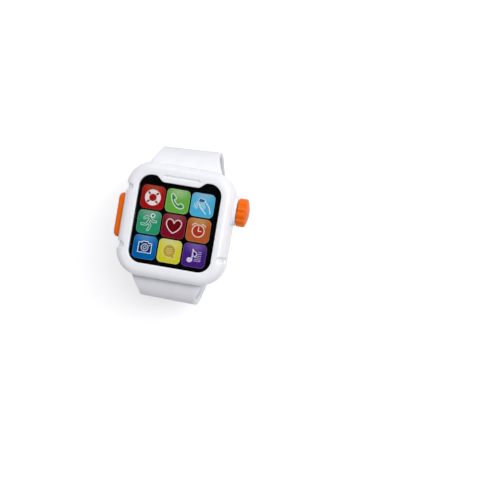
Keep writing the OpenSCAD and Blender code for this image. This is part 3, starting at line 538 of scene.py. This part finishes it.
def build_crown():
    """Fluted crown with a soft rim and a domed end, from rings along its axis."""
    # how far the dome's arc would fall by the side
    drop = CROWN_DOME * 1.3
    dome_r = (CROWN_R ** 2 + drop ** 2) / (2 * drop)
    dome_x = CROWN_L + CROWN_DOME - dome_r
    steps = FLUTES * 28
    turns = [2 * pi * k / steps for k in range(steps)]
    radii = [flute_edge(t) for t in turns]

    def ring(place):
        """Points where place puts each side distance, as (place along the axis, radius)."""
        return [(x, r * cos(t), r * sin(t)) for (x, r), t in zip(map(place, radii), turns)]

    def rounded(r, share):
        """A place on the rim's arc between the side and the dome."""
        centre = dome_x + sqrt((dome_r - CROWN_SOFT) ** 2 - (r - CROWN_SOFT) ** 2)
        lean = atan2(centre - dome_x, r - CROWN_SOFT) * share
        return centre + CROWN_SOFT * sin(lean), r - CROWN_SOFT + CROWN_SOFT * cos(lean)

    def domed(r, share):
        """A place on the dome; towards the middle the grooves fade out."""
        reach = (rounded(r, 1)[1] * share + (CROWN_R - CROWN_SOFT) * (1 - share)) * share
        return dome_x + sqrt(dome_r ** 2 - reach ** 2), reach

    points = []
    for x, inset in ((0.0, 0.4), (0.0, 0.25), (0.07, 0.07), (0.25, 0), (1.0, 0), (1.8, 0), (2.4, 0)):
        points += ring(lambda r: (x, r - inset))
    for k in range(11):
        points += ring(lambda r: rounded(r, k / 10))
    for k in range(1, 16):
        points += ring(lambda r: domed(r, (1 - k / 16) ** 0.8))
    faces = grid_faces(len(points) // steps, steps)
    faces.append(tuple(range(steps)))
    last, tip = len(points) - steps, len(points)
    points.append((CROWN_L + CROWN_DOME, 0, 0))
    faces += [(last + k, last + (k + 1) % steps, tip) for k in range(steps)]
    crown = make_piece("fluted_crown", (points, faces), orange_plastic, "crown",
                       ["crown_knob"], sharp=40, at=(CROWN_X, CROWN_Y, CROWN_Z))
    stem_hole = arc(CROWN_Y, CROWN_Z, KNOB_HOLE_R, steps=32)
    cut(crown, prism(stem_hole, CROWN_X - 1, CROWN_X + KNOB_HOLE_L, "x"), sharp=40)


def build_side_button():
    """Long round-ended button with a full, soft edge, the flange behind the wall and the foot."""
    levels = [(FLANGE_X + FLANGE_T, FLANGE_OUT - SOFT), (FLANGE_X + FLANGE_T - SOFT, FLANGE_OUT),
              (FLANGE_X + SOFT, FLANGE_OUT), (FLANGE_X, FLANGE_OUT - SOFT), (FLANGE_X, 0)]
    levels += [(x, 0) for x in BARREL_X]
    face_x, steps = BUTTON_X + 0.02, 16
    for k in range(steps + 1):
        turn = pi / 2 * k / steps
        levels.append((face_x + BUTTON_ROUND * (1 - sin(turn)), -BUTTON_ROUND * (1 - cos(turn))))
    # the face bulges by a hair
    levels += [(BUTTON_X + 0.005, -BUTTON_R + 0.4), (BUTTON_X, -BUTTON_R + 0.1)]
    make_piece("side_button_moulding", pad_rings(levels, BUTTON_HALF, BUTTON_R), orange_plastic, "button",
               ["side_button"], sharp=40, at=(0, 0, MID_Z))
    foot = [(FOOT_END_X, 0), (FOOT_END_X, FOOT_R - SOFT), (FOOT_END_X - SOFT, FOOT_R), (FOOT_X, FOOT_R),
            (FOOT_X, 0)]
    make_piece("side_button_foot", turned(foot, 40), orange_plastic, "button",
               at=(0, 0, MID_Z))


# Strap
def strap_path(z, flat_over, tail_turn):
    """Straights and arcs of a strap half, as (length, radius), and the flat's length to the middle."""
    lean = radians(LEAN)
    drop = STRAP_Z - BEND_R * (1 + sin(lean)) - z - LOOP_R * (1 - sin(lean))
    side = drop / cos(lean)
    flat = BEND_Y + BEND_R * cos(lean) - side * sin(lean) - LOOP_R * cos(lean)
    path = [(BEND_Y - TONGUE_END, 0), (BEND_R * radians(90 + LEAN), BEND_R), (side, 0),
            (LOOP_R * radians(90 - LEAN), LOOP_R), (flat + flat_over, 0)]
    if tail_turn:
        path.append((TAIL_R * radians(tail_turn), TAIL_R))
    return path, flat


def strap_state(path, s):
    """(outward, up, heading in degrees) at a distance along a strap's path."""
    out, up, heading = TONGUE_END, STRAP_Z, 0.0
    for i, (length, radius) in enumerate(path):
        step = s if i == len(path) - 1 else min(s, length)
        turn = radians(heading)
        if radius == 0:
            out, up = out + step * cos(turn), up - step * sin(turn)
        else:
            more = turn + step / radius
            out += radius * (sin(more) - sin(turn))
            up += radius * (cos(more) - cos(turn))
            heading = degrees(more)
        s -= step
        if s <= 0:
            break
    return out, up, heading


def strap_reach(out, up, heading, side):
    """A strap half's reach to the left and right, and its slant, at one place."""
    # from the root to the bend, and then the slant fades down the side
    if heading < 90:
        way = 1 - (1 - min(1, max(0, (out - HALF_L) / (BEND_Y + BEND_R - HALF_L)))) ** 1.3
        slant = way
    else:
        way = 1
        slant = ease(up - 10, 26)
    # the leg is narrower than the bend, and narrows on towards the clasp
    leg = LEG_REACH + ease(up - 12, 24)
    share = ease(heading - 50, 52)
    left, right = (root + (bend - root) * way for root, bend in zip(ROOT_REACH[side], BEND_REACH[side]))
    return left + (leg - left) * share, right + (leg - right) * share, slant * SLANT[side]


def strap_outline(half, thick, edge):
    """Outline across a strap as (across, inward) points, with points on the flats for even light."""
    outline = []
    for corner in range(4):
        sx = 1 if corner in (0, 3) else -1
        sy = 1 if corner < 2 else -1
        for a, b in arc(sx * (half - edge), sy * (thick - edge), edge, corner * 90, corner * 90 + 90, 6):
            outline.append((a, b))
        if corner in (0, 2):
            outline += [(sx * (half - edge) * (1 - k / 2), sy * thick) for k in (1, 2, 3)]
    return outline


def build_strap(name, node, path, tip_r, side, holes, holes_at):
    """One half of the strap, swept along its path, with its holes and those for the case's posts."""
    whole = sum(length for length, _ in path)
    tongue = HALF_L - WALL - TONGUE_END
    places, at = [0, 0.15, 0.4, tongue - 0.2, tongue, tongue + 0.3, tongue + 0.6], 0
    straight_step, arc_step = 1.6, radians(3)
    for length, radius in path:
        count = max(2, ceil(length / (radius * arc_step if radius else straight_step)))
        places += [at + length * k / count for k in range(count + 1)]
        at += length
    places = sorted(set(round(p, 4) for p in places if p < whole - tip_r - 0.1 or p < 3))
    places += [whole - tip_r * (1 - sin(pi / 2 * k / 18)) for k in range(19)]
    points = []
    for s in places:
        out, up, heading = strap_state(path, s)
        left, right, slant = strap_reach(out, up, heading, side)
        half, middle = (left + right) / 2, (right - left) / 2
        if s < tongue + 0.15:
            half, middle = TONGUE_HALF, 0
        tip, edge, thick = whole - s, STRAP_EDGE, STRAP_T / 2
        if tip < tip_r:
            half = half - tip_r + sqrt(max(0, tip_r ** 2 - (tip_r - tip) ** 2))
        # the last of the tip is rounded off through its thickness too
        nose = 0.7
        if tip < nose:
            thick -= nose - sqrt(max(0, nose ** 2 - (nose - tip) ** 2))
            edge = min(edge, thick)
        turn = radians(heading)
        ring = strap_outline(half, thick, edge)
        for across, inward in ring:
            x = across * side + middle
            y = side * (out - inward * sin(turn)) + slant * x
            points.append((x, y, up - inward * cos(turn)))
    strap = make_piece(name, capped(points, len(ring)), strap_plastic, "case", [node], 45)
    for k in holes:
        out, up, heading = strap_state(path, whole - holes_at + k * HOLE_PITCH)
        turn = radians(heading)
        face, past = STRAP_T / 2, STRAP_T / 2 + 1
        profile = [(-past, 0), (-past, HOLE_RIM_R), (-face, HOLE_R), (face, HOLE_R), (past, HOLE_RIM_R),
                   (past, 0)]
        hole, faces = turned(profile, 40)
        placed = [(y, side * (out + x * sin(turn) + z * cos(turn)),
                   up + x * cos(turn) - z * sin(turn)) for x, y, z in hole]
        cut(strap, (placed, faces), sharp=45)
    for sx in (-1, 1):
        post = arc(sx * POST_X, side * POST_Y, POST_R + 0.1, steps=40)
        cut(strap, prism(post, STRAP_Z - 3, STRAP_Z + 3), sharp=45)


# Printed screen; inks are lighter than they look, as the window takes some light
INK_LIFT, DOT_SHADE = 1.2, 0.93
GLOW_PLACE, GLOW_SCALE, GLOW_REACH = (-0.9, -2.1, 0), (1.8, 2.15, 0), 1.15


def printed(name, colour, glow=None):
    """Ink on card, with a fine dot screen, and on a tile's face a glow from its upper edge."""
    material, shader, place = start_material(name, Roughness=0.45, IOR=1.5, Specular_IOR_Level=0.02)
    full, lit = ([min(1, v * INK_LIFT) for v in linear(ink)] for ink in (colour, glow or colour))
    dots = add(material, "TexVoronoi", [("Scale", 1 / (DOT_MM * MM))], [("Vector", place["Object"])])
    screen = [(0, full), (1, [v * DOT_SHADE for v in full[:3]] + [1])]
    result = add(material, "ValToRGB", [("stops", screen)], [("Fac", dots)])
    if glow:
        spot = add(material, "Mapping", [("Location", GLOW_PLACE), ("Scale", GLOW_SCALE)],
                   [("Vector", place["Generated"])])
        away = add(material, "VectorMath", [("operation", "LENGTH")], [(0, spot)])
        share = add(material, "MapRange", [("interpolation_type", "SMOOTHSTEP"), ("From Max", GLOW_REACH),
                                           ("To Min", 1.0), ("To Max", 0.0)],
                    [("Value", away.outputs["Value"])])
        result = add(material, "Mix", [("data_type", "RGBA"), (7, lit)], [(0, share), (6, result)]).outputs[2]
    join(material, shader, [("Base Color", result)])
    return material


def smooth_line(points, closed=False, steps=8):
    """A line drawn smoothly through its points."""
    n = len(points)
    line = []
    for i in range(n if closed else n - 1):
        near = [(i + k) % n if closed else min(n - 1, max(0, i + k)) for k in (-1, 0, 1, 2)]
        for k in range(steps):
            t = k / steps
            line.append(tuple(0.5 * (2 * b + (c - a) * t + (2 * a - 5 * b + 4 * c - d) * t * t
                                     + (3 * b - a - 3 * c + d) * t ** 3)
                              for a, b, c, d in zip(*(points[at] for at in near))))
    if not closed:
        line.append(points[-1])
    return line


def stroke(line, width, closed=False):
    """A pen line of even width along points, with round ends: (points, faces)."""
    n = len(line)
    points, faces = [], []
    for i, (x, y) in enumerate(line):
        x0, y0 = line[i - 1] if closed or i else line[i]
        x1, y1 = line[(i + 1) % n] if closed or i < n - 1 else line[i]
        a, b = Vector((x - x0, y - y0)), Vector((x1 - x, y1 - y))
        a = a.normalized() if a.length > 1e-6 else b.normalized()
        b = b.normalized() if b.length > 1e-6 else a
        lean = (a + b).normalized() if (a + b).length > 1e-3 else a
        # wider at a bend, so that the line keeps its width on both sides of it
        grow = min(1.6, 1 / max(0.3, lean.dot(a)))
        side = Vector((-lean.y, lean.x)) * width / 2 * grow
        points += [(x + side.x, y + side.y), (x - side.x, y - side.y)]
    for i in range(n if closed else n - 1):
        a, b = 2 * i, 2 * ((i + 1) % n)
        faces.append((a, a + 1, b + 1, b))
    if not closed:
        for end, near in ((0, 1), (n - 1, n - 2)):
            (x, y), (u, v) = line[end], line[near]
            away = degrees(atan2(y - v, x - u))
            cap = arc(x, y, width / 2, away + 90, away - 90, 8)
            faces.append(tuple(range(len(points), len(points) + len(cap))))
            points += cap
    return points, faces


def rounded_box(half_x, half_y, r, steps=8):
    """Outline of a box with rounded corners."""
    outline = []
    for i, (sx, sy) in enumerate(((1, 1), (-1, 1), (-1, -1), (1, -1))):
        outline += arc(sx * (half_x - r), sy * (half_y - r), r, 90 * i, 90 * i + 90, steps)
    return outline


def filled(outline):
    """A flat face inside an outline."""
    return outline, [tuple(range(len(outline)))]


# Icons, drawn in millimetres from the middle of a tile, as (layer, shape) from the lowest up
PEN = 0.36


def outlined(outline, pen=PEN):
    """A closed shape as its dark inside and its pale line."""
    return [("fill", filled(outline)), ("line", stroke(outline, pen, True))]


def limb(line, wide=1.0, narrow=0.5):
    """A limb drawn as a pale band with a darker band inside."""
    return [("line", stroke(line, wide)), ("fill_over", stroke(line, narrow))]


def draw_lifebuoy():
    parts = [("line", stroke(arc(0, -0.1, 2.35), 1.5, True))]
    for turn in (45, 135, 225, 315):
        band = [arc(0, -0.1, r, turn, turn, 1)[0] for r in (1.55, 3.15)]
        parts.append(("face_over", stroke(band, 0.75)))
    return parts + [("line_over", stroke(arc(0, -0.1, r), 0.22, True)) for r in (3.1, 1.6)]


def draw_handset():
    outline = [(-2.2, 2.7), (-0.65, 1.15), (-1.4, 0.35), (-0.68, -0.65), (0.33, -1.4), (0.9, -1.15),
               (1.6, -0.75), (2.6, -1.65), (2.45, -2.4), (1.4, -2.85), (-0.05, -2.5), (-1.43, -1.4),
               (-2.4, 0.25), (-2.8, 1.85), (-2.6, 2.55)]
    return outlined(smooth_line(outline, True, 5))


def draw_card_in_hand():
    card = [(-2.0, 1.2), (-1.35, 2.75), (1.0, 2.2), (0.4, 1.0)]
    waves = [(arc(-4.1, -0.3, radius, -42, 42, 12), 0.24) for radius in (0.9, 1.55, 2.2)]
    hand = [
        ([(-1.5, 0.7), (-0.8, -0.9), (0.75, -2.35), (1.75, -3.25)], 0.36),
        ([(0.75, 1.65), (2.1, 0.35), (3.0, -1.1), (3.5, -2.95)], 0.38),
        ([(-0.6, 0.6), (0.2, -0.3), (0.95, -1.3)], 0.28),
        ([(0.1, 0.75), (0.85, 0.0), (1.2, -0.8)], 0.28),
        ([(-1.05, 0.3), (-0.35, -0.75), (0.5, -1.8)], 0.24),
    ]
    lines = waves + [(smooth_line(line), pen) for line, pen in hand]
    return [("deep", filled(card)), ("line", stroke(card, 0.22, True))] + [
        ("line", stroke(line, pen)) for line, pen in lines]


def draw_runner():
    parts = [("line", filled(arc(1.25, 2.85, 0.95))), ("fill_over", filled(arc(1.25, 2.85, 0.5)))]
    for line in ([(0.5, 1.75), (-0.3, 0.0)], [(0.45, 1.85), (-1.1, 2.05), (-1.95, 1.4)],
                 [(0.5, 1.6), (1.55, 0.6), (2.75, 0.55)], [(-0.35, 0.1), (-1.1, -1.0), (-2.75, -1.0)],
                 [(-0.3, 0.1), (0.65, -1.2), (0.0, -3.1)]):
        parts += limb(smooth_line(line, steps=5))
    return parts


def draw_heart():
    half = [(0, 1.2), (0.55, 2.15), (1.65, 2.7), (2.75, 2.15), (3.05, 0.85), (2.55, -0.5), (1.5, -1.75),
            (0, -2.8)]
    right = smooth_line(half, steps=7)
    # a dot closes the line at the cleft and at the point
    dots = [("line_over", filled(arc(0, y, r, steps=16))) for y, r in ((1.2, 0.24), (-2.8, 0.22))]
    return outlined(right + [(-x, y) for x, y in reversed(right[1:-1])], 0.42) + dots


def draw_alarm_clock():
    parts = outlined(arc(-0.05, -0.25, 2.4), 0.38)
    parts.append(("line_over", stroke([(-0.05, 1.45), (-0.05, -0.25), (1.2, -0.25)], PEN)))
    for side in (-1, 1):
        bell = [(-0.05 + side * x, y) for x, y in ((2.65, 1.7), (2.2, 2.3), (1.15, 2.75))]
        parts.append(("line", stroke(smooth_line(bell), 0.34)))
    return parts


def draw_camera():
    body = [(-2.6, 1.75), (-1.5, 1.75), (-1.0, 2.35), (0.95, 2.35), (1.45, 1.75), (2.7, 1.65), (2.7, -2.15),
            (-2.65, -2.15)]
    return outlined(body, 0.34) + [
        ("fill_over", filled(arc(0, -0.1, 1.6))),
        ("line_over", stroke(arc(0, -0.1, 1.4), 0.3, True)),
        ("line_over", stroke(arc(0, -0.1, 0.62), 0.24, True)),
        ("line_over", stroke([(1.75, 0.95), (2.15, 0.95)], 0.3)),
    ]


def draw_chat_bubble():
    outline = arc(-0.1, 0.15, 2.6, -35, 290, 44) + [(1.3, -2.75), (2.35, -2.6), (2.2, -1.9)]
    rows = ((1.1, -1.3, 0.9), (0.4, -1.55, 1.25), (-0.3, -1.4, 1.2), (-1.0, -0.9, 0.7))
    return outlined(outline, 0.34) + [("line_over", stroke([(x0, y), (x1, y)], 0.22)) for y, x0, x1 in rows]


def draw_music_note():
    flag = [(-0.75, 2.45), (-0.2, 1.7), (0.75, 1.2), (0.85, 0.3), (0.3, -0.45), (-0.1, -0.3), (-0.75, 0.4)]
    rows = ((1.55, 1.5), (0.8, 1.35), (0.05, 1.0), (-0.7, 0.3), (-1.45, 0.2), (-2.1, 0.2))
    return [
        ("line", filled(arc(-1.65, -1.95, 1.15, squash=0.85))),
        ("line", stroke([(-0.75, 2.3), (-0.75, -1.9)], 0.5)),
        ("fill", filled(flag)),
        ("line", stroke(smooth_line(flag, steps=5), PEN)),
    ] + [("line", stroke([(x0, y), (2.75, y)], 0.18)) for y, x0 in rows]


# Tiles from the top left: name, drawing, and the colours of face, glow and edge, line, and fill
TILES = [
    ("lifebuoy", draw_lifebuoy, "#A31216", "#A8452F", "#F4E6E6", "#7C0A0E"),
    ("handset", draw_handset, "#67AC42", "#A3C890", "#D8F0DC", "#3B8550"),
    ("card_in_hand", draw_card_in_hand, "#49B1DD", "#86BED6", "#D6ECF6", "#1D66A8"),
    ("runner", draw_runner, "#27976C", "#77A590", "#CDEBE0", "#17705A"),
    ("heart", draw_heart, "#7C1025", "#8C484C", "#E9CFD6", "#68080F"),
    ("alarm_clock", draw_alarm_clock, "#B8572A", "#BC8F58", "#F0DACB", "#B0321C"),
    ("camera", draw_camera, "#0063AE", "#4E8CC6", "#CFE0F2", "#152C6C"),
    ("chat_bubble", draw_chat_bubble, "#D6CF34", "#D2D28A", "#D9D7A0", "#BFA028"),
    ("music_note", draw_music_note, "#46207F", "#735BA2", "#D9CFEC", "#31156B"),
]
TILE, TILE_R, TILE_PITCH, GRID_X, GRID_Y, TILE_EDGE = 9.5, 1.8, 10.15, -0.5, -1.2, 0.14
# Height of each layer above the card, and its ink; each next part on a tile lies a hair higher
LAYERS = {"face": (0.02, 0), "edge": (0.03, 1), "fill": (0.04, 3), "deep": (0.04, 3), "line": (0.05, 2),
          "fill_over": (0.06, 3), "face_over": (0.06, 0), "line_over": (0.07, 2)}
HAIR = 0.0004


def build_printed_card():
    """The black card behind the window, and nine tiles with their icons printed on it."""
    card = prism(rounded_box(CARD_HALF_W, CARD_HALF_L, CARD_CORNER_R, 16), CARD_Z, CARD_TOP_Z)
    make_piece("icon_card_sheet", card, printed("black_card_ink", "#030304"), "case",
               ["icon_card"])
    for i, (name, draw, face, glow, pale, dark) in enumerate(TILES):
        inks = [printed(name + "_tile_ink", face, glow), printed(name + "_edge_ink", glow),
                printed(name + "_line_ink", pale), printed(name + "_fill_ink", dark)]
        outline = rounded_box(TILE / 2, TILE / 2, TILE_R)
        inset = TILE_EDGE / 2
        inner = rounded_box(TILE / 2 - inset, TILE / 2 - inset, TILE_R - inset)
        parts = [("face", filled(outline)), ("edge", stroke(inner, TILE_EDGE, True))] + draw()
        at_x, at_y = GRID_X + (i % 3 - 1) * TILE_PITCH, GRID_Y + (1 - i // 3) * TILE_PITCH
        points, faces, kinds = [], [], []
        for k, (layer, (flat, flat_faces)) in enumerate(parts):
            height, ink = LAYERS[layer]
            faces += [tuple(n + len(points) for n in f) for f in flat_faces]
            kinds += [ink] * len(flat_faces)
            points += [((x + at_x) * MM, (y + at_y) * MM, (CARD_TOP_Z + height + HAIR * (k % 10)) * MM)
                       for x, y in flat]
        mesh = bpy.data.meshes.new("icon_" + name)
        mesh.from_pydata(points, [], faces)
        for ink in inks:
            mesh.materials.append(ink)
        mesh.polygons.foreach_set("material_index", kinds)
        place_piece("icon_" + name, mesh, "case")


def dress_node(name, material):
    """Gives a CAD piece that stays its finish."""
    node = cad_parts[name]
    node.data.materials.clear()
    node.data.materials.append(material)


def finish_lens():
    """Clear acrylic window, polished: sharp reflections with the faintest wiped marks."""
    material, shader, place = start_material("clear_acrylic", IOR=1.49, Transmission_Weight=1.0)
    marks = noise(material, place["Object"], 6, 4.0)
    gloss = add(material, "MapRange", [("To Min", 0.0), ("To Max", 0.05)], [("Value", marks)])
    join(material, shader, [("Roughness", gloss)])
    # lamp light and light between the print and the window pass unbent
    through = add(material, "BsdfTransparent")
    rays = add(material, "LightPath").outputs
    unbent = either(material, rays["Is Shadow Ray"], rays["Is Diffuse Ray"])
    mix = add(material, "MixShader", (), [(0, unbent), (1, shader), (2, through)])
    join(material, material.node_tree.nodes["Material Output"], [("Surface", mix)])
    dress_node("screen_lens", material)


# Floor, lights and camera
FLOOR_SIZE, FLOOR_LIFT, FLOOR_NEAR, FLOOR_FAR = 6, 0.52, 0.1, 0.9
SKY = ((0.3, 0.62), (0.95, 0.0))
LAMPS = (
    ("right_lamp", (0.31, 0.16, 0.79), (0.3, 0.6), 4.6),
    ("top_lamp", (0.0, 0.6, 0.65), (0.8, 0.5), 1.65),
)
LAMP_AIM = Vector((0, 0, 0.04))
CAMERA_PLACE, CAMERA_AIM, CAMERA_ROLL = (70.97, 0.0, 476.9), (31.433, -5.416, 52.8), 9.595
CAMERA_SENSOR, CAMERA_LENS, CAMERA_CLIP = 36.0, 77.4, (0.01, 20)


def build_floor():
    """Pale paper: white to the camera and in reflections, mid grey to light that bounces off it."""
    paper, shader, place = start_material("pale_paper", Roughness=0.75)
    fibres = noise(paper, place["Object"], 1.5, 3.0)
    tones = [(0, linear("#D2D2D4")), (1, linear("#DADADC"))]
    tint = add(paper, "ValToRGB", [("stops", tones)], [("Fac", fibres)])
    rays = add(paper, "LightPath").outputs
    seen = either(paper, rays["Is Camera Ray"], rays["Is Glossy Ray"])
    shown = either(paper, seen, rays["Is Transmission Ray"])
    mix = add(paper, "Mix", [("data_type", "RGBA"), (6, linear("#B4B4B6"))], [(0, shown), (7, tint)])
    join(paper, shader, [("Base Color", mix.outputs[2])])
    # the lamps reach only the middle of the floor, so its far parts are lifted more
    away = add(paper, "VectorMath", [("operation", "LENGTH")], [(0, place["Object"])])
    level = add(paper, "MapRange", [("From Min", FLOOR_NEAR), ("From Max", FLOOR_FAR), ("To Min", FLOOR_LIFT),
                                    ("To Max", 1.0)], [("Value", away.outputs["Value"])])
    lift = add(paper, "Math", [("operation", "MULTIPLY")], [(0, shown), (1, level)])
    glow = add(paper, "Emission", (), [("Strength", lift)])
    both = add(paper, "AddShader", (), [(0, shader), (1, glow)])
    join(paper, paper.node_tree.nodes["Material Output"], [("Surface", both)])
    bpy.ops.mesh.primitive_plane_add(size=FLOOR_SIZE)
    floor = bpy.context.object
    floor.name = "studio_floor"
    floor.data.materials.append(paper)


def build_sky():
    """Pale round the horizon and dim overhead, so the screen stays black; plain white to the camera."""
    world = bpy.data.worlds.new("studio")
    bpy.context.scene.world = world
    world.use_nodes = True
    place = add(world, "TexCoord").outputs["Generated"]
    split = add(world, "SeparateXYZ", (), [(0, place)])
    levels = [(at, (level, level, level * 1.02, 1)) for at, level in SKY]
    ramp = add(world, "ValToRGB", [("stops", levels)], [("Fac", split.outputs["Z"])])
    seen = add(world, "LightPath").outputs["Is Camera Ray"]
    white = add(world, "Mix", [("data_type", "RGBA"), (7, (1, 1, 1, 1))], [(0, seen), (6, ramp)])
    join(world, world.node_tree.nodes["Background"], [("Color", white.outputs[2])])


def build_lamps():
    """Two soft lamps: one from the crown's side, and a wide one from beyond 12 o'clock."""
    for name, place, size, power in LAMPS:
        lamp = bpy.data.lights.new(name, "AREA")
        lamp.shape, lamp.energy = "RECTANGLE", power
        lamp.size, lamp.size_y = size
        holder = new_object(name, lamp)
        holder.location = place
        holder.rotation_euler = (LAMP_AIM - Vector(place)).to_track_quat("-Z", "Y").to_euler()


def build_camera():
    """Looks down on the face, a little from the crown's side, as the photograph does."""
    camera = new_object("photo_camera", bpy.data.cameras.new("photo_camera"))
    place, roll = Vector(CAMERA_PLACE) * MM, radians(CAMERA_ROLL)
    back = (place - Vector(CAMERA_AIM) * MM).normalized()
    right = Vector((-sin(roll), cos(roll), 0)).cross(back).normalized()
    up = back.cross(right)
    camera.matrix_world = Matrix([(*right, 0), (*up, 0), (*back, 0), (*place, 1)]).transposed()
    camera.data.sensor_width, camera.data.lens = CAMERA_SENSOR, CAMERA_LENS
    camera.data.clip_start, camera.data.clip_end = CAMERA_CLIP
    bpy.context.scene.camera = camera


# Finishes of the CAD pieces
NODE_FINISH = {
    white_plastic: ["back_cover", "battery_door", "strap_clasp"],
    inner_plastic: ["light_spacer", "crown_switch_plunger", "side_switch_plunger", "click_wheel",
                    "crown_slider"],
    black_plastic: ["crown_switch", "side_switch", "sound_chip"],
    steel: ["crown_stem", "stem_clip", "click_spring", "door_screw", "case_screws"],
    board_green: ["circuit_board"],
    led_resin: ["leds"],
    wire_red: ["speaker_leads"],
    speaker_tin: ["speaker"],
    cell_steel: ["battery_cells"],
    contact_metal: ["contact_negative", "contact_positive", "contact_bridge", "door_contact"],
}
for finish, names in NODE_FINISH.items():
    for name in names:
        dress_node(name, finish)

build_front_shell()
build_crown_pad()
build_screw_posts()
build_crown()
build_side_button()
short_path, short_flat = strap_path(SHORT_Z, SHORT_OVER, 0)
long_path, _ = strap_path(LONG_Z, short_flat, TAIL_TURN)
tail = TAIL_R * radians(TAIL_TURN)
build_strap("strap_12_half", "strap_short", short_path, SHORT_TIP_R, 1, (-1, 1), STUD_FROM_END)
build_strap("strap_6_half", "strap_long", long_path, LONG_TIP_R, -1, range(-4, 5), tail + short_flat)
softened_copy("back_cover", "back_cover_moulding", "case", COVER_SOFT)
softened_copy("battery_door", "battery_door_moulding", "door", COVER_SOFT)
softened_copy("strap_clasp", "clasp_moulding", "case", CLASP_SOFT)
build_printed_card()
finish_lens()
build_floor()
build_sky()
build_lamps()
build_camera()

bpy.context.scene.view_settings.view_transform = "Standard"
